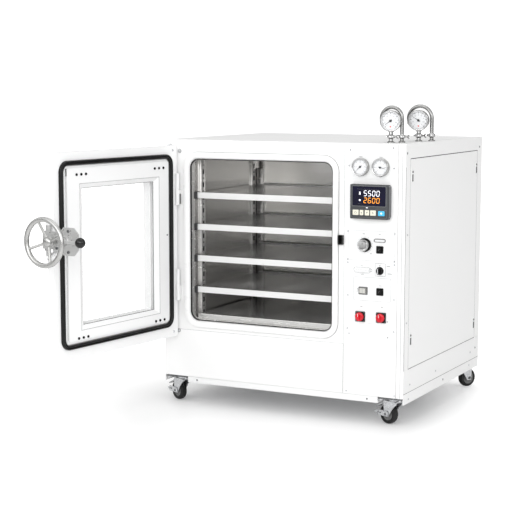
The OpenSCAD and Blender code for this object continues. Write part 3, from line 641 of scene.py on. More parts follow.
# ------------------------------------------------------------------ door
WX0, WX1, WZ0, WZ1 = 201, 611, 303, 792
BDX, BDZ = 22, 16
P = Piece("door_gasket_lipped", door)
y = -13.0
gp = [(0, -24.2), (0, y - 4.4), (-0.7, y - 2.0), (-2.2, y - 0.5), (-4.0, y), (-5.8, y - 0.7), (-7.2, y - 2.6), (-8, y - 3.6), (-8.8, y - 2.6),
      (-10.2, y - 0.7), (-12.0, y), (-13.8, y - 0.5), (-15.3, y - 2.0), (-16, y - 4.4), (-16, -24.2), (-16, -30.6), (0, -30.6)]
P.loop(rrpath(97, 225, 737, 891, 40.5, 12), gp, "rubber")
P.done("door", ("door_gasket",), 50)

P = Piece("door_window_bezel", door)
x0, x1, z0, z1 = WX0 - BDX, WX1 + BDX, WZ0 - BDZ, WZ1 + BDZ


def bezel(prof_t, key):
    """prof_t: (share of the way from the outer edge to the opening, y)"""
    o = len(P.v)
    k = len(prof_t)
    for sx_, sz_ in ((1, 1), (-1, 1), (-1, -1), (1, -1)):
        for t, yy in prof_t:
            X = (x1 - BDX * t) if sx_ > 0 else (x0 + BDX * t)
            Z = (z1 - BDZ * t) if sz_ > 0 else (z0 + BDZ * t)
            P.v.append((X, yy, Z))
    for i in range(4):
        j = (i + 1) % 4
        for a in range(k):
            b = (a + 1) % k
            P.f.append((o + i * k + a, o + i * k + b, o + j * k + b, o + j * k + a))
            P.mi.append(P.m(key))


bezel([(0.0, -20.6), (0.05, -20.4), (0.10, -20.9), (0.55, -25.2), (0.90, -28.6), (0.97, -29.5), (1.0, -30.4), (1.0, -31.0), (0.0, -29.5)], "white_in")
P.done("door", ("door_window_frame",), 20)

P = Piece("door_seals_and_shade_lines", door)
P.loop(rectpath(WX0 + 0.2, WZ0 + 0.2, WX1 - 0.2, WZ1 - 0.2), [(0, -31.2), (0, -33.6), (-1.6, -33.6), (-1.6, -31.2)], "gap")
# the strip round the bezel's outer edge is painted shade at that edge
P.loop(rectpath(x0 - 0.1, z0 - 0.1, x1 + 0.1, z1 + 0.1), [(0.0, -20.9), (0.9, -20.2), (0.9, -19.7), (-0.6, -19.9), (-0.6, -20.9)], "bead")
# the line round the inner panel's edge is painted shade
P.loop(rrpath(113.4, 241.4, 720.6, 874.6, 24, 8), [(0, -23.8), (-2.6, -23.8), (-2.6, -22.6), (0, -22.6)], "bead")
# the vertical grey line is painted shade standing for a groove
P.box((700.9, -23.95, 258), (704.2, -23.2, 862), "gap", 0.2)
P.box((704.8, -23.9, 250), (707.2, -21.4, 866), "white_in", 0.4)
P.box((700.4, -23.9, 838), (702.6, -20.2, 864), "shadow", 0.3)
P.done("door")

P = Piece("door_inner_screws", door)
for zc in (841, 260):
    for xc in (599, 624, 649, 153, 180, 206):
        screw(P, (xc, -20.0, zc), "y", 1, 4.9, 3.4, "black", 24, 2.3)
P.lathe([(3.6, -0.2), (3.6, 0.7), (2.9, 1.1), (2.2, 0.5), (0, 0.4)], (131, -20.0, 584), "y", "ink_g", 20)
P.done("door")

P = Piece("door_outer_window_trim", door)
yo = -56.0 - 22.0
P.loop(rectpath(WX0, WZ0, WX1, WZ1), [(-0.4, yo + 0.2), (-0.4, yo - 0.0), (2.5, yo - 1.2), (10.0, yo - 1.2), (13, yo - 0.2), (13, yo + 0.2)], "rubber")
P.loop(rrpath(WX0 - 34, WZ0 - 34, WX1 + 34, WZ1 + 34, 11), [(0, yo + 0.2), (-1.5, yo - 1.4), (-8, yo - 1.4), (-9.5, yo + 0.2)], "white_in")
for xc in (WX0 - 18, (WX0 + WX1) / 2, WX1 + 18):
    for zc in (WZ0 - 18, WZ1 + 18):
        screw(P, (xc, yo, zc), "y", -1, 4.2, 3.0, "chrome", 20, 2.1)
for xc in (WX0 - 18, WX1 + 18):
    for zc in (WZ0 + 120, (WZ0 + WZ1) / 2, WZ1 - 120):
        screw(P, (xc, yo, zc), "y", -1, 4.2, 3.0, "chrome", 20, 2.1)
P.done("door")

# hinge details: knuckle rims, screws on the leaves, painted shade between the knuckles of the upper hinge
P = Piece("hinge_details")
for z in (325, 695):
    P.lathe([(7.9, 0), (8.2, 0.8), (8.2, 3.0), (7.6, 3.6)], (70, -16, z + 55.0), "z", "white", 28)
    # painted shade strip, on the upper hinge only
    if z > 500:
        P.box((77.2, -13.6, z + 3.2), (78.4, -2.0, z + 42), "gap", 0.3)
    for dz in (14, 30, 46):
        screw(P, (70.6, -0.2, z + dz), "y", -1, 0.1, 0.1, "gap", 8)
for c in ((72, -0.2, 901), (64, -0.2, 203)):
    P.lathe([(5.6, 0), (5.6, -2.2), (4.4, -3.6), (2.2, -3.8), (1.6, -2.4), (0, -2.4)], c, "y", "zinc", 22)
    P.lathe([(7.6, 0), (7.6, -0.8), (6.0, -1.2), (5.4, -0.6)], c, "y", "bead", 22)
P.lathe([(4.4, 0), (4.2, -1.4), (2.4, -2.4), (0, -2.6)], (22, -0.1, 921), "y", "zinc", 18)
# lifting eye on the roof edge of the hinge side
P.lathe([(2.2, 0), (2.2, -2.0), (0, -2.4)], (12, -0.1, 905), "y", "ink_g", 14)
ring_pts = [(34 + 5.2 * math.cos(a), -3.0, 921 + 5.2 * math.sin(a)) for a in [2 * math.pi * i / 20 for i in range(20)]]
P.tube(ring_pts + ring_pts[:1], 1.2, "zinc", 8)
P.done("cabinet")

P = Piece("door_hinge_leaf_details", door)
for z in (325, 695):
    P.box((64.6, -25.6, z + 66), (66.2, -24.2, z + 116), "bead", 0.3)
    P.lathe([(7.5, 0), (8.0, 0.6), (8.0, 2.4), (7.4, 3.0)], (70, -16, z + 117.0), "z", "white_in", 28)
P.lathe([(4.6, 0), (4.6, 1.6), (3.2, 2.8), (1.6, 2.8), (1.2, 1.8), (0, 1.8)], (88, -24.1, 905), "y", "zinc", 20)
P.lathe([(4.6, 0), (4.6, 1.6), (3.2, 2.8), (1.6, 2.8), (1.2, 1.8), (0, 1.8)], (88, -24.1, 203), "y", "zinc", 20)
P.done("door")

# ------------------------------------------------------------------ clamp, handwheel
P = Piece("clamp_details", clamp)
CZ = 624
for xc, zc in ((887, CZ + 36), (887, CZ - 36), (835, CZ - 25)):
    screw(P, (xc, -53, zc), "y", -1, 5.2, 3.4, "zinc_d", 22, 2.6)
P.prism(rrpoly(845, CZ - 21, 905, CZ + 21, 8), -53.2, -55.6, "alu_w", 1.0)
P.lathe([(19, -53), (19, -58), (17, -60), (16.2, -60)], (872, 0, CZ), "y", "alu_w", 40)
P.lathe([(21, -53), (21, -56), (19, -58), (16.2, -58)], (837, 0, CZ), "y", "alu_w", 40)
P.box((790, -55.4, CZ - 26), (824, -53.1, CZ - 20), "alu_w", 1.0)
P.box((790, -55.4, CZ + 20), (824, -53.1, CZ + 26), "alu_w", 1.0)
P.done("clamp")

P = Piece("handwheel_hub_cap", clamp)
P.lathe([(17.6, -104.2), (17.8, -106.5), (16.4, -109.0), (13.0, -111.6), (8.0, -113.4), (3.0, -114.0), (0, -114.1)], (837, 0, CZ), "y", "alu", 40)
P.lathe([(17.3, -99), (18.2, -97), (18.2, -94), (17.3, -92)], (837, 0, CZ), "y", "alu", 40)
P.done("wheel")

P = Piece("clamp_bracket_details", door)
for z in (CZ - 61, CZ + 55):
    P.lathe([(6.2, 0), (6.2, 2.2), (4.6, 3.4), (0, 3.8)], (781, -36, z + (4.9 if z > CZ else -5.1 - 3.8)), "z", "zinc", 24)
for z in (CZ - 40, CZ + 44):
    screw(P, (768.1, -39, z), "x", 1, 3.6, 2.6, "zinc_d", 18, 1.8)
P.done("door")

# ------------------------------------------------------------------ controller
P = Piece("controller_housing")
P.prism(rrpoly(796, 675, 943, 799, 3.0), -25, 0, "grey", 1.6, 2)
P.box((804, 2.1, 684), (930, 96, 790), "grey", 2.0)
P.prism([(943.2, 681), (946.6, 684), (946.6, 792), (943.2, 796)], -21, -1, "grey_l", 0.8)
P.loop(rrpath(802.5, 719.5, 937.5, 795.5, 6, 6), [(0, -24.6), (0, -26.0), (-2.6, -26.4), (-3.4, -25.2), (-3.4, -24.6)], "grey_l")
P.loop(rrpath(800.4, 679.6, 938.8, 709.4, 3, 4), [(0, -24.6), (0, -25.6), (-1.2, -25.8), (-1.8, -24.6)], "grey_l")
for zz in (690, 706, 722, 738, 754, 770, 786):
    P.box((942.2, -19, zz - 2.2), (943.6, -8, zz + 2.2), "shadow", 0.3)
P.prism(rrpoly(805, 722, 935, 793, 6), -25.3, -24.2, "navy", 0.3)
P.prism([(858, 717.0), (867, 717.0), (865, 714.6), (860, 714.6)], -25.9, -25.2, "digit_w")
P.done("cabinet", ("temperature_controller",))

SEG = {"0": "abcdef", "2": "abged", "5": "afgcd", "6": "afgedc"}


def digit(P, ch, x, z, w, h, t, y0, key, slant=0.10):
    def sk(px, pz):
        return (x + px + slant * (pz), z + pz)
    hw = t / 2
    segs = {"a": (hw, h - hw, w - hw, h - hw), "g": (hw, h / 2, w - hw, h / 2), "d": (hw, hw, w - hw, hw), "f": (hw, h / 2, hw, h - hw),
            "e": (hw, hw, hw, h / 2), "b": (w - hw, h / 2, w - hw, h - hw), "c": (w - hw, hw, w - hw, h / 2)}
    for s in SEG[ch]:
        xa, za, xb, zb = segs[s]
        g = 0.35
        if za == zb:
            poly = [(xa + g, za), (xa + g + hw, za - hw), (xb - g - hw, za - hw), (xb - g, za), (xb - g - hw, za + hw), (xa + g + hw, za + hw)]
        else:
            poly = [(xa, za + g), (xa + hw, za + g + hw), (xa + hw, zb - g - hw), (xa, zb - g), (xa - hw, zb - g - hw), (xa - hw, za + g + hw)]
        P.prism([sk(*q) for q in poly], y0 - 0.35, y0, key)


P = Piece("controller_readout")
for k, ch in enumerate("5500"):
    digit(P, ch, 848.5 + k * 16.4, 757.5, 12.2, 20.5, 2.2, -25.3, "digit_w")
for k, ch in enumerate("2600"):
    digit(P, ch, 848.5 + k * 16.4, 732.5, 12.2, 20.0, 2.2, -25.3, "digit_o")
P.prism(circ(834.5, 742.5, 3.4, 20), -25.6, -25.3, "digit_w")
P.prism([(830.5, 763), (838.5, 763), (836.8, 767), (836.6, 773), (832.4, 773), (832.2, 767)], -25.6, -25.3, "digit_w")
P.box((824, -25.6, 782.0), (907, -25.3, 782.4), "ink_g")
P.box((826, -25.6, 729.0), (844, -25.3, 729.4), "ink_g")
P.done("cabinet")

P = Piece("controller_keys")
P.prism(rrpoly(799.4, 680.4, 939.6, 708.6, 2), -22.2, -20.2, "grey")
ks = [(807.5, 830.5), (834.5, 849), (854.5, 872), (875.5, 897.5), (906, 931)]
for i, (a, b) in enumerate(ks):
    zt = 707.5 if i < 4 else 706
    P.prism(rrpoly(a, 688.5, b, zt, 2.6), -27.6, -22.0, "cream" if i < 4 else "cyan", 1.2, 2)
    cxk = (a + b) / 2
    if i == 0:
        P.loop(circ_path := [(cxk + 3 * math.cos(t), 698.0 + 3 * math.sin(t), math.cos(t), math.sin(t)) for t in [2 * math.pi * q / 18 for q in range(18)]], [(0, -27.8), (0.9, -27.8), (0.9, -27.5), (0, -27.5)], "ink_g")
    elif i == 1:
        P.prism([(cxk - 2.6, 696), (cxk + 2.6, 696), (cxk, 701)], -27.8, -27.5, "ink_g")
    elif i == 2:
        P.prism([(cxk - 2.6, 701), (cxk, 695.6), (cxk + 2.6, 701)], -27.8, -27.5, "ink_g")
    elif i == 3:
        P.prism([(cxk - 3, 695.4), (cxk - 3, 701), (cxk + 1, 698.2)], -27.8, -27.5, "ink_g")
        P.box((cxk + 1.4, -27.8, 695.4), (cxk + 2.4, -27.5, 701), "ink_g")
    else:
        P.box((cxk - 4, -27.8, 696.6), (cxk + 4, -27.5, 698.4), "digit_w")
        P.box((cxk - 1, -27.8, 693.4), (cxk + 1, -27.5, 701.4), "digit_w")
P.done("cabinet", ("controller_keypad",))


# ------------------------------------------------------------------ gauges
def dial(P, c, yd, R, rim_y, n_major, a0, a1, redmark=False):
    x, z = c
    P.lathe([(0, yd - 0.25), (R, yd - 0.25), (R, yd + 0.4), (0, yd + 0.4)], (x, 0, z), "y", "dial", 56)
    for i in range(n_major * 5 + 1):
        a = math.radians(a0 + (a1 - a0) * i / (n_major * 5))
        maj = i % 5 == 0
        r0, r1 = R * (0.76 if maj else 0.84), R * 0.92
        w = R * (0.022 if maj else 0.010)
        s, co = math.sin(a), math.cos(a)
        poly = [(x + s * r0 - co * w, z + co * r0 + s * w), (x + s * r0 + co * w, z + co * r0 - s * w), (x + s * r1 + co * w, z + co * r1 - s * w), (x + s * r1 - co * w, z + co * r1 + s * w)]
        P.prism(poly, yd - 0.5, yd - 0.2, "ink" if maj else "ink_g")
    P.loop([(x + R * 0.93 * math.cos(t), z + R * 0.93 * math.sin(t), math.cos(t), math.sin(t)) for t in [2 * math.pi * q / 56 for q in range(56)]],
           [(0, yd - 0.5), (R * 0.016, yd - 0.5), (R * 0.016, yd - 0.2), (0, yd - 0.2)], "ink_l")
    if redmark:
        P.prism(circ(x, z - R * 0.62, R * 0.085, 14), yd - 0.6, yd - 0.2, "ink_r")
    P.lathe([(R * 0.13, yd - 5.2), (R * 0.13, yd - 3.4), (R * 0.10, yd - 5.9), (0, yd - 6.0)], (x, 0, z), "y", "ink", 20)


def small_digit_marks(P, c, yd, R, a0, a1, k):
    """short plain figures beside the long ticks"""
    x, z = c
    for i in range(k + 1):
        a = math.radians(a0 + (a1 - a0) * i / k)
        cx, cz = x + math.sin(a) * R * 0.60, z + math.cos(a) * R * 0.60
        for j in range(1 + (i % 2)):
            digit(P, "0256"[(i + j) % 4], cx - R * 0.05 + j * R * 0.10 - (i % 2) * R * 0.05, cz - R * 0.06, R * 0.08, R * 0.13, R * 0.022, yd - 0.2, "ink_g", 0)


P = Piece("panel_gauge_faces")
for gx, gz in ((828, 860.5), (906, 860.5)):
    dial(P, (gx, gz), -9.4, 27.3, -16, 6, -135, 135)
    small_digit_marks(P, (gx, gz), -9.4, 27.3, -135, 135, 6)
    P.lathe([(27.4, -9.0), (27.6, -15.4), (28.4, -17.0), (29.6, -17.4), (30.8, -16.6), (31.4, -14.6), (31.4, -9), (30.6, -4.6), (30.4, -1.6)], (gx, 0, gz), "y", "chrome", 64)
    P.lathe([(33.0, -1.5), (33.0, -3.0), (32.2, -14.0), (31.2, -15.2)], (gx, 0, gz), "y", "chrome_d", 64)
    P.box((gx - 7, -1.9, gz + 35.2), (gx + 5, -1.5, gz + 37.2), "ink_l", 0.1)
P.done("cabinet")

for gi, nm in ((0, "front"), (1, "rear")):
    P = Piece("top_gauge_face_" + nm, topg(gi))
    dial(P, (0, 0), -11.4, 33.6, -18, 10, -140, 140, True)
    small_digit_marks(P, (0, 0), -11.4, 33.6, -140, 140, 8)
    P.lathe([(33.8, -11), (34.0, -17.6), (35.0, -19.0), (36.4, -19.4), (37.6, -18.6), (38.2, -16.6), (38.2, -12), (37.6, -9.5), (37.9, -6), (37.9, 4), (37.2, 9), (35, 12.0)], (0, 0, 0), "y", "chrome", 72)
    P.lathe([(37.9, -8.4), (38.5, -7.6), (38.5, -6.0), (37.9, -5.2)], (0, 0, 0), "y", "chrome_d", 72)
    P.lathe([(8.2, -34 - 7), (10.5, -34 - 6), (11.5, -34 - 2.5), (11.5, -34 + 4), (9, -34 + 6)], (0, 0, 0), "z", "chrome_d", 6)
    P.done("cabinet")


def flange_set(P, x, y, r):
    """clamped flange joint with a wing screw, on the roof"""
    P.lathe([(r + 5.4, 945.0), (r + 5.8, 946.2), (r + 5.4, 948.4), (r + 2.2, 949.4), (r + 0.4, 951.5)], (x, y, 0), "z", "chrome_d", 32)
    P.lathe([(r + 0.4, 958), (r + 3.4, 961), (r + 6.4, 962.4), (r + 6.9, 964), (r + 6.9, 968.6), (r + 6.2, 970.6), (r + 3.4, 972), (r + 0.4, 975)], (x, y, 0), "z", "chrome", 36)
    for s in (-1, 1):
        P.box((x + s * 15 - 4, y - 3.4, 963.6), (x + s * 15 + 4, y + 3.4, 970.4), "chrome_d", 1.2)
    P.tube([(x + 13, y - 4.6, 967), (x + 25, y - 5.4, 967)], 1.9, "chrome_d", 10)
    for s in (-1, 1):
        P.prism([(x + 22, 967 + s * 1.0), (x + 29, 967 + s * 3.0), (x + 33, 967 + s * 7.5), (x + 29, 967 + s * 8.4), (x + 24, 967 + s * 5.0)], y - 6.6, y - 4.4, "chrome", 0.5)


P = Piece("roof_flange_clamps")
for x, y, r in ((904, 92, 8), (950, 252, 8), (935, 122, 7), (966, 300, 7)):
    if (x, y) == (966, 300):
        x = 966 + 17
        P.lathe([(r + 5.4, 945.0), (r + 5.8, 946.2), (r + 5.4, 948.4), (r + 2.2, 949.4), (r + 0.4, 951.5)], (x, y, 0), "z", "chrome_d", 32)
        P.lathe([(r + 0.4, 958), (r + 3.4, 961), (r + 6.4, 962.4), (r + 6.9, 964), (r + 6.9, 968.6), (r + 6.2, 970.6), (r + 3.4, 972), (r + 0.4, 975)], (x, y, 0), "z", "chrome", 36)
        P.box((x - 19, y - 3.4, 963.6), (x - 11, y + 3.4, 970.4), "chrome_d", 1.2)
        continue
    flange_set(P, x, y, r)
P.done("cabinet")

# ------------------------------------------------------------------ control column
P = Piece("vacuum_knob_turned")
kx, kz = 846, 579
pk = [(0, -27.0), (10, -27.2), (14.5, -27.6), (15.6, -28.8), (17.0, -30.0), (18.0, -29.4), (18.8, -27.6), (19.8, -26.2), (20.5, -24.2), (20.7, -21.5), (20.7, -10.5), (20.1, -8.6), (19.0, -7.2), (5, -7.0), (5, 30), (0, 30)]
P.lathe(pk, (kx, 0, kz), "y", "chrome", 64)
for i in range(36):
    a = math.radians(i * 10)
    P.tube([(kx + 20.7 * math.cos(a), -22.5, kz + 20.7 * math.sin(a)), (kx + 20.7 * math.cos(a), -10.5, kz + 20.7 * math.sin(a))], 0.7, "chrome_d", 6)
P.box((kx - 0.7, -27.8, kz + 3), (kx + 0.7, -27.0, kz + 12), "ink", 0.2)
P.done("vacuum_knob", ("vacuum_knob",), 30)


def button_frame(P, c, a, b, key):
    P.loop(rrpath(c[0] - a - 2.5, c[1] - b - 2.5, c[0] + a + 2.5, c[1] + b + 2.5, 2.2, 4), [(0, -1.5), (0, -4.0), (-0.9, -5.0), (-3.8, -5.0), (-4.5, -4.2), (-4.5, 0), (0, 0)], key)
    P.box((c[0] - a, -0.4, c[1] - b), (c[0] + a, 24, c[1] + b), key, 1.0)


P = Piece("switch_bodies")
for c in ((904.5, 564), (906.5, 411)):
    button_frame(P, c, 11, 11, "black")
button_frame(P, (841, 411.5), 15, 11.5, "hub")
for c in ((830.5, 316), (912, 317)):
    P.prism(rrpoly(c[0] - 19, c[1] - 19, c[0] + 19, c[1] + 19, 1.6), -5.0, -1.5, "black", 0.8, 2)
    P.lathe([(17.9, -4.8), (18.2, -5.8), (17.4, -6.2), (4.2, -6.2), (4.2, 24), (11.5, 24), (11.5, -1.4)], (c[0], 0, c[1]), "y", "black", 48)
    for s in (-1, 1):
        for q in (-1, 1):
            screw(P, (c[0] + s * 15.6, -5.0, c[1] + q * 15.6), "y", -1, 1.7, 0.8, "zinc_d", 12)
P.prism(rrpoly(907 - 17, 488 - 17, 907 + 17, 488 + 17, 1.8), -5.0, -1.5, "plate", 0.8, 2)
P.lathe([(14.6, -4.8), (14.6, -6.0), (13.6, -6.4), (4.2, -6.4), (4.2, 24), (11.5, 24), (11.5, -1.4)], (907, 0, 488), "y", "black", 48)
P.lathe([(25, -1.5), (25.2, -4.8), (24.2, -6.0), (19.5, -6.2), (5.2, -6.2), (5.2, 34), (9.5, 34), (9.5, -1.4)], (846, 0, 579), "y", "black", 64)
P.loop(rrpath(881.5, 590, 927.5, 604, 6.9, 8), [(0, -1.5), (0, -4.6), (-1.0, -5.9), (-2.6, -5.6), (-3.4, -4.0), (-3.4, -1.5)], "chrome_d")
P.prism(rrpoly(884.9, 593.4, 924.1, 600.6, 3.5, 6), -4.4, -1.4, "dial", 0.8)
P.box((886.5, -1.6, 592.5), (922.5, 20, 601.5), "dial", 0.8)
P.done("cabinet", ("switch_bezels",))

for nm, c, a in (("alarm_button", (904.5, 564), 11), ("reset_button", (906.5, 411), 11)):
    P = Piece(nm + "_cap")
    P.prism(rrpoly(c[0] - 8.6, c[1] - 8.6, c[0] + 8.6, c[1] + 8.6, 1.6), -9, 3, "black", 1.0, 2)
    P.prism(rrpoly(c[0] - 6.6, c[1] - 6.6, c[0] + 6.6, c[1] + 6.6, 1.2), -9.5, -8.8, "black", 0.4)
    # the grey diagonal stripe across the cap is a painted highlight
    P.prism([(c[0] - 4.6, c[1] - 3.0), (c[0] - 3.6, c[1] - 3.8), (c[0] + 1.6, c[1] + 3.2), (c[0] + 0.6, c[1] + 4.0)], -9.8, -9.3, "grey_l", 0.1)
    P.done(nm, (nm,))
P = Piece("lamp_button_cap")
c = (841, 411.5)
P.prism([(c[0] - 12.7, c[1] - 9.2), (c[0] + 12.7, c[1] - 9.2), (c[0] + 12.7, c[1] + 9.2), (c[0] - 12.7, c[1] + 9.2)], -9.0, 3, "lampc", 1.2, 3)
P.box((c[0] - 0.4, -9.4, c[1] - 7.2), (c[0] + 0.4, -8.6, c[1] + 7.2), "ink_l", 0.1)
P.box((c[0] + 10.9, -9.3, c[1] - 8.2), (c[0] + 12.5, -8.2, c[1] + 8.2), "black", 0.1)
P.done("lamp_button", ("lamp_button",))

for nm, c in (("heater_switch", (830.5, 316)), ("pump_switch", (912, 317))):
    P = Piece(nm + "_knob")
    P.lathe([(0, -18.6), (6, -18.7), (11.5, -18.2), (14.2, -17.0), (15.4, -15.0), (15.8, -12.4), (15.8, -7.8), (15.2, -6.5), (4, -6.4), (4, 20), (0, 20)], (c[0], 0, c[1]), "y", "red", 56)
    for i in range(18):
        a = math.radians(i * 20 + 10)
        P.tube([(c[0] + 15.6 * math.cos(a), -14.5, c[1] + 15.6 * math.sin(a)), (c[0] + 15.6 * math.cos(a), -7.6, c[1] + 15.6 * math.sin(a))], 0.9, "red", 6)
    P.prism(rrpoly(c[0] - 4.6, c[1] - 13.4, c[0] + 4.6, c[1] + 13.4, 4.0, 5), -27.0, -17.6, "red", 1.8, 3)
    P.box((c[0] - 0.8, -27.5, c[1] + 3.0), (c[0] + 0.8, -26.8, c[1] + 12.4), "dial", 0.2)
    P.done(nm, (nm,))
P = Piece("selector_key_lever")
c = (907, 488)
P.lathe([(0, -14.4), (8, -14.4), (11.4, -13.6), (12.8, -12.0), (13.0, -7.6), (12.4, -6.6), (4, -6.5), (4, 20), (0, 20)], (c[0], 0, c[1]), "y", "black", 48)
P.prism(rrpoly(c[0] - 3.9, c[1] - 12, c[0] + 3.9, c[1] + 12, 3.4, 5), -27.0, -13.6, "black", 1.5, 3)
# the white line down the lever is a painted highlight
P.box((c[0] - 1.0, -27.5, c[1] - 9.5), (c[0] + 1.0, -26.8, c[1] + 10), "dial", 0.3)
P.done("selector_key", ("selector_key",), 34)

# printed outlines, tick marks and small plain symbols on the plates
P = Piece("plate_markings")
yp = -1.5


def outline(path, w, key, h=0.25):
    P.loop(path, [(0, yp), (0, yp - h), (w, yp - h), (w, yp)], key)


outline(rrpath(802.5, 376, 948, 460.5, 5, 4), 0.9, "ink_l")
outline(rrpath(803.3, 478, 869, 496.5, 9, 8), 0.9, "ink_g")
outline(rrpath(808.0, 481.5, 864, 493, 5.4, 6), 0.5, "ink_l")
outline(rrpath(887.2, 468.2, 926.6, 513.6, 2, 4), 0.8, "ink_g")
outline(rrpath(780.5, 523, 961, 630, 3, 4), 0.6, "ink_l")
P.box((795, yp - 0.25, 474.0), (878, yp, 474.7), "ink_l")
for x, z, w, h, k in ((841.5, 619.1, 9, 2.2, "ink_g"), (904.1, 620.1, 9, 2.2, "ink_g"), (835, 502.6, 10, 1.6, "ink_g"), (905.3, 506.4, 5, 2.6, "ink_g"),
                      (939, 505.5, 14, 3.0, "ink_g"), (943.4, 478.3, 17, 3.0, "ink_g"), (837.5, 471.3, 13, 2.2, "ink_g"), (907.5, 433.4, 12, 1.6, "ink_g"),
                      (835.1, 353.2, 9, 2.4, "ink_g"), (915.2, 355.7, 8, 2.4, "ink_g"), (872, 575, 5, 2.5, "ink_g"), (870, 548, 6, 2.2, "ink_g"), (906.6, 398, 9, 1.2, "ink_l"),
                      (872, 292, 20, 1.0, "ink_l")):
    n = max(2, int(w / 2.6))
    for i in range(n):
        xx = x - w / 2 + i * w / n
        P.box((xx, yp - 0.25, z - h / 2 * (1 if i % 2 else 0.8)), (xx + w / n * 0.62, yp, z + h / 2), k)
for i in range(7):
    P.box((813 + i * 6.6, yp - 0.25, 486.2), (815 + i * 6.6 + (i % 3), yp, 487.6), "ink_g")
P.lathe([(6.4, 0), (6.4, -0.3), (5.3, -0.3), (5.3, 0)], (868.6, yp, 487.2), "y", "ink_g", 24)
for a_ in range(-60, 61, 8):
    a = math.radians(a_)
    x, z = 812.5 + 7.5 * math.cos(a), 412.5 + 7.5 * math.sin(a)
    P.prism(circ(x, z, 0.75, 8), yp - 0.25, yp, "ink_g")
for i in range(11):
    a = math.radians(-130 + i * 26)
    P.box((846 + 29.5 * math.sin(a) - 0.5, yp - 0.25, 579 + 29.5 * math.cos(a) - 1.3), (846 + 29.5 * math.sin(a) + 0.5, yp, 579 + 29.5 * math.cos(a) + 1.3), "ink_l")
P.done("cabinet")

# ------------------------------------------------------------------ cabinet seams, latches, screws
P = Piece("cabinet_seams")
P.box((761.6, 0.25, 26), (763.9, 1.9, 209.5), "gap", 0.1)
P.box((761.6, 0.25, 209.5), (763.9, 1.9, 940), "ink_l", 0.1)
P.box((2, 0.3, 208.5), (761.8, 1.9, 210.3), "ink_l", 0.1)
P.box((986.8, -0.12, 26), (988.4, 0.8, 942), "ink_l", 0.05)
P.box((998.1, 44.3, 129), (1000.1, 45.9, 889), "gap", 0.1)
P.box((998.1, 784.3, 129), (1000.1, 786.0, 889), "gap", 0.1)
P.box((998.1, 46, 889.9), (1000.1, 785, 892.6), "shadow", 0.1)
P.box((999.9, 0.6, 127), (1000.3, 3.6, 862), "gap", 0.05)
P.box((998.1, 46, 126.0), (1000.1, 785, 128.6), "gap", 0.1)
P.box((998.1, 3, 39.2), (1000.1, 838, 41.0), "gap", 0.1)
P.box((1.2, 3, 39.6), (2.0, 838, 40.4), "ink_g", 0.1)
P.done("cabinet")

P = Piece("corner_screws")
for y_, z_ in ((14, 912), (810, 905), (800, 82), (420, 20)):
    screw(P, (1000.0, y_, z_), "x", 1, 4.2, 1.3, "zinc_d", 18)
    screw(P, (0.0, y_ + 10, z_), "x", -1, 4.2, 1.3, "zinc_d", 18)
for x_ in (30, 330, 670, 970):
    for z_ in (60, 500, 925):
        screw(P, (x_, D, z_), "y", 1, 4.4, 1.6, "zinc_d", 18)
P.done("cabinet")

P = Piece("side_latches")
for y_, z_, k in ((62, 830, 1), (768, 822, -1), (62, 236, 1), (768, 190, -1)):
    P.prism(rrpoly(y_ - 6.8, z_ - 22.8, y_ + 6.8, z_ + 22.8, 3.4), 1001.6, 1002.6, "plate", 0.5, 1, "x")
    P.prism(rrpoly(y_ - 5.4, z_ - 20.5, y_ + 5.4, z_ + 5.0, 2.4), 1002.5, 1003.0, "shadow", 0.1, 1, "x")
    P.prism(rrpoly(y_ - 3.0, z_ - 16.4, y_ + 3.0, z_ + 1.4, 1.6), 1002.6, 1004.2, "zinc_d", 0.5, 1, "x")
    P.lathe([(4.4, 0), (4.4, 1.0), (3.4, 1.8), (1.0, 1.8), (0.8, 1.0), (0, 1.0)], (1002.4, y_, z_ + 13.5), "x", "dark", 20)
P.done("service_panel")

# ------------------------------------------------------------------ rear
P = Piece("rear_details")
for i in range(8):
    P.prism([(D + 0.2, 565.4 + i * 16), (D + 5.0, 561.5 + i * 16), (D + 4.4, 560.6 + i * 16), (D + 0.2, 563.6 + i * 16)], 811, 929, "white", 0, 1, "x")
P.loop(rrpath(862, 102, 898, 138, 4), [(0, D), (0, D + 2.0), (-8, D + 2.0), (-8, D)], "gland")
P.prism(rrpoly(120, 300, 620, 640, 14), D, D + 1.2, "white", 0.5)
for x_ in (132, 370, 608):
    for z_ in (312, 628):
        screw(P, (x_, D + 1.2, z_), "y", 1, 4.0, 1.6, "zinc_d", 18)
P.done("cabinet")

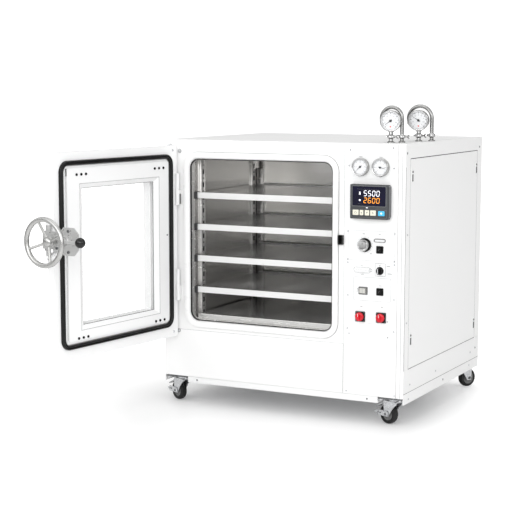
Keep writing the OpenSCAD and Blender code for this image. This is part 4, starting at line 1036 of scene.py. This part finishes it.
# ------------------------------------------------------------------ casters
for k in ("fl", "fr", "rl", "rr"):
    T = caster(k)
    az, tr = 37.5 - 85, 27
    P = Piece("caster_wheel_%s_tyred" % k, T)
    pr = [(4.05, -14.3), (9.6, -14.3), (10, -13.2), (10.6, -9.4), (22.5, -8.6), (24.2, -9.6), (25.6, -11.6), (33.4, -11.8), (35.6, -10.8), (36.9, -7.6), (37.5, -3.0), (37.5, 3.0), (36.9, 7.6), (35.6, 10.8), (33.4, 11.8),
          (25.6, 11.6), (24.2, 9.6), (22.5, 8.6), (10.6, 9.4), (10, 13.2), (9.6, 14.3), (4.05, 14.3), (4.05, -14.3)]
    kk = ["zinc"] * 3 + ["hub"] * 3 + ["tyre"] * 10 + ["hub"] * 3 + ["zinc"] * 3
    kk = kk[:len(pr) - 1]
    P.lathe(pr, (tr, 0, az), "y", "tyre", 64, kk)
    for s in (-1, 1):
        P.lathe([(27.6, s * 11.5), (28.2, s * 12.3), (29.4, s * 12.3), (30.0, s * 11.6)], (tr, 0, az), "y", "tyre", 56)
        for q in range(6):
            a = math.radians(q * 60)
            P.lathe([(2.6, s * 8.2), (2.6, s * 9.6), (1.8, s * 10.0), (0, s * 10.0)], (tr + 16.5 * math.cos(a), 0, az + 16.5 * math.sin(a)), "y", "gap", 12)
    P.done("wheel_" + k, ("caster_wheel_" + k,), 40)
    P = Piece("caster_fork_%s_details" % k, T)
    for s in (-1, 1):
        # stiffening skirt of the fork, axle nut and washer
        P.lathe([(7.4, s * 17.8), (7.4, s * 18.8), (6.8, s * 19.1)], (tr, 0, az), "y", "zinc", 28)
        P.lathe([(5.6, s * 18.8), (5.6, s * 22.2), (4.8, s * 23.0), (2.6, s * 23.0), (2.6, s * 24.6), (0, s * 24.8)], (tr, 0, az), "y", "zinc_d", 6)
        P.prism([(-24, 3.5), (37, 3.5), (38.5, -2), (30, -4.5), (-20, -4.5), (-24.5, -1)], s * 17.7, s * 18.9, "zinc", 0.4)
        P.tube([(-22, s * 17.9, -7), (-7, s * 17.9, -21), (16, s * 17.9, az - 8)], 1.1, "zinc", 8)
        if k in ("fl", "fr"):
            P.prism(rrpoly(14, az - 8, 72, az + 13, 9.5, 7), s * 19.3, s * 21.3, "zinc", 0.7, 2)
            for cx in (52, 63):
                P.lathe([(3.0, s * 21.1), (3.0, s * 22.2), (2.0, s * 22.8), (0, s * 23.0)], (cx, 0, az + 3), "y", "zinc_d", 16)
            P.prism(rrpoly(70, az - 1, 81, az + 7, 2.5, 4), s * 19.3, s * 20.7, "zinc", 0.5)
    P.lathe([(22.2, 12.2), (22.6, 13.6), (22.2, 15.0)], (0, 0, 0), "z", "zinc_d", 48)
    P.lathe([(19.4, 4.2), (20.4, 5.4), (20.2, 7.6), (19.2, 8.2)], (0, 0, 0), "z", "zinc", 48)
    P.done("fork_" + k)
    if k in ("fl", "fr"):
        P = Piece("brake_pedal_%s_details" % k, T)
        # rolled edges and grip ribs on the pedal plate
        for q in range(4):
            t = 10 + q * 9
            P.tube([(42 + t * 0.899, -12.5, -8.6 - t * 0.438 + 0.2), (42 + t * 0.899, 12.5, -8.6 - t * 0.438 + 0.2)], 0.8, "zinc", 8)
        P.tube([(79.5, -14, -26.6), (79.5, 14, -26.6)], 2.0, "zinc_d", 10)
        P.done("pedal_" + k)
P = Piece("caster_plates")
for k, (cx, cy, a) in CS.items():
    yy0, yy1 = (1.5, 92) if cy < 200 else (D - 92, D - 1.5)
    xx0, xx1 = (5.5, 98) if cx < 500 else (902, 994.5)
    P.box((xx0, yy0, 17.0), (xx1, yy1, 20.6), "zinc_d", 1.2)
    for sx_ in (xx0 + 9, xx1 - 9):
        for sy_ in (yy0 + 9, yy1 - 9):
            P.lathe([(6.6, 17.2), (6.6, 12.2), (5.6, 11.4), (3.2, 11.4), (3.2, 9.6), (0, 9.4)], (sx_, sy_, 0), "z", "zinc", 6)
P.done("cabinet")

P = Piece("front_rail_trim")
P.box((103, 2.6, 1.5), (897, 3.9, 23.5), "plate", 0.5)
for x_ in (142, 858):
    screw(P, (x_, 2.7, 12), "y", -1, 3.4, 1.4, "zinc_d", 16)
P.done("cabinet")

# ------------------------------------------------------------------ floor, light, camera
bpy.ops.mesh.primitive_plane_add(size=60)
fl = bpy.context.object
fl.name = "studio_floor"
fm, nt, b = _nt("studio_floor")
n = _noise(nt, 0.6, 3)
r = _ramp(nt, n.outputs["Fac"], [(0.3, (0.90, 0.90, 0.90)), (0.7, (0.92, 0.92, 0.92))])
nt.links.new(r.outputs["Color"], b.inputs["Base Color"])
b.inputs["Roughness"].default_value = 0.32
b.inputs["Specular IOR Level"].default_value = 0.25
b.inputs["Emission Color"].default_value = (1, 1, 1, 1)
lpf = nt.nodes.new("ShaderNodeLightPath")
tcf = nt.nodes.new("ShaderNodeTexCoord")
ln = nt.nodes.new("ShaderNodeVectorMath")
ln.operation = "LENGTH"
nt.links.new(tcf.outputs["Object"], ln.inputs[0])
mrf = nt.nodes.new("ShaderNodeMapRange")
mrf.inputs["From Min"].default_value = 0.55
mrf.inputs["From Max"].default_value = 1.7
mrf.inputs["To Min"].default_value = 0.10
mrf.inputs["To Max"].default_value = 0.85
nt.links.new(ln.outputs["Value"], mrf.inputs["Value"])
ml = nt.nodes.new("ShaderNodeMath")
ml.operation = "MULTIPLY"
nt.links.new(mrf.outputs["Result"], ml.inputs[1])
nt.links.new(lpf.outputs["Is Camera Ray"], ml.inputs[0])
nt.links.new(ml.outputs[0], b.inputs["Emission Strength"])
fl.data.materials.append(fm)

scene = bpy.context.scene
scene.view_settings.view_transform = "Standard"
scene.view_settings.look = "None"
scene.view_settings.exposure = 0.20
scene.view_settings.gamma = 1.0

w = bpy.data.worlds.new("studio")
scene.world = w
w.use_nodes = True
nt = w.node_tree
bg = nt.nodes["Background"]
lp = nt.nodes.new("ShaderNodeLightPath")
tc = nt.nodes.new("ShaderNodeTexCoord")
sp = nt.nodes.new("ShaderNodeSeparateXYZ")
nt.links.new(tc.outputs["Generated"], sp.inputs["Vector"])
mr = nt.nodes.new("ShaderNodeMapRange")
mr.inputs["From Min"].default_value = -1
mr.inputs["From Max"].default_value = 1
nt.links.new(sp.outputs["Z"], mr.inputs["Value"])
cr = nt.nodes.new("ShaderNodeValToRGB")
e = cr.color_ramp.elements
e[0].position, e[0].color = 0.40, (0.60, 0.60, 0.60, 1)
e[1].position, e[1].color = 0.50, (0.22, 0.22, 0.22, 1)
for pos, v in ((0.55, 0.30), (0.64, 0.80), (0.85, 0.92), (1.0, 0.80)):
    q = e.new(pos)
    q.color = (v, v, v, 1)
nt.links.new(mr.outputs["Result"], cr.inputs["Fac"])
my = nt.nodes.new("ShaderNodeMapRange")
my.inputs["From Min"].default_value = 0.05
my.inputs["From Max"].default_value = 0.75
my.inputs["To Min"].default_value = 1.0
my.inputs["To Max"].default_value = 0.42
nt.links.new(sp.outputs["Y"], my.inputs["Value"])
mul = nt.nodes.new("ShaderNodeMix")
mul.data_type = "RGBA"
mul.blend_type = "MULTIPLY"
mul.inputs["Factor"].default_value = 1.0
nt.links.new(cr.outputs["Color"], mul.inputs["A"])
nt.links.new(my.outputs["Result"], mul.inputs["B"])
mx = nt.nodes.new("ShaderNodeMix")
mx.data_type = "RGBA"
mx.inputs["B"].default_value = (1, 1, 1, 1)
nt.links.new(lp.outputs["Is Camera Ray"], mx.inputs["Factor"])
nt.links.new(mul.outputs["Result"], mx.inputs["A"])
nt.links.new(mx.outputs["Result"], bg.inputs["Color"])
bg.inputs["Strength"].default_value = 1.0


def area(name, loc, target, size, energy):
    L = bpy.data.lights.new(name, "AREA")
    L.shape = "RECTANGLE"
    L.size, L.size_y = size
    L.energy = energy
    o = bpy.data.objects.new(name, L)
    scene.collection.objects.link(o)
    o.location = loc
    o.rotation_euler = (Vector(target) - Vector(loc)).to_track_quat("-Z", "Y").to_euler()
    return o


area("key", (-1.2, -4.2, 2.6), (0, 0, 0.6), (3.2, 2.4), 30)
area("fill", (4.8, -0.6, 2.4), (0.3, 0.2, 0.6), (2.6, 2.6), 26)
area("top", (0.0, 0.6, 4.2), (0.0, 0.3, 0.9), (2.4, 2.4), 19)
area("chamber", (0.75, -2.6, 1.45), (-0.1, 0.35, 0.6), (1.3, 1.1), 15)
area("door_side", (3.6, -2.4, 1.5), (-0.2, -0.5, 0.6), (1.8, 1.8), 9)

cam = bpy.data.cameras.new("camera")
co = bpy.data.objects.new("camera", cam)
scene.collection.objects.link(co)
yaw, pitch, roll = math.radians(27.23883), math.radians(7.09796), math.radians(0.029)
fwd = Vector((-math.sin(yaw) * math.cos(pitch), math.cos(yaw) * math.cos(pitch), -math.sin(pitch)))
right = Vector((math.cos(yaw), math.sin(yaw), 0))
up = right.cross(fwd)
r2 = right * math.cos(roll) + up * math.sin(roll)
u2 = -right * math.sin(roll) + up * math.cos(roll)
Mx = Matrix((r2, u2, -fwd)).transposed().to_4x4()
Mx.translation = cab((2834.92, -4693.62, 1154.70))
co.matrix_world = Mx
cam.sensor_width = 36
cam.lens = 1414.88 * 36 / 521
cam.clip_end = 120
scene.camera = co
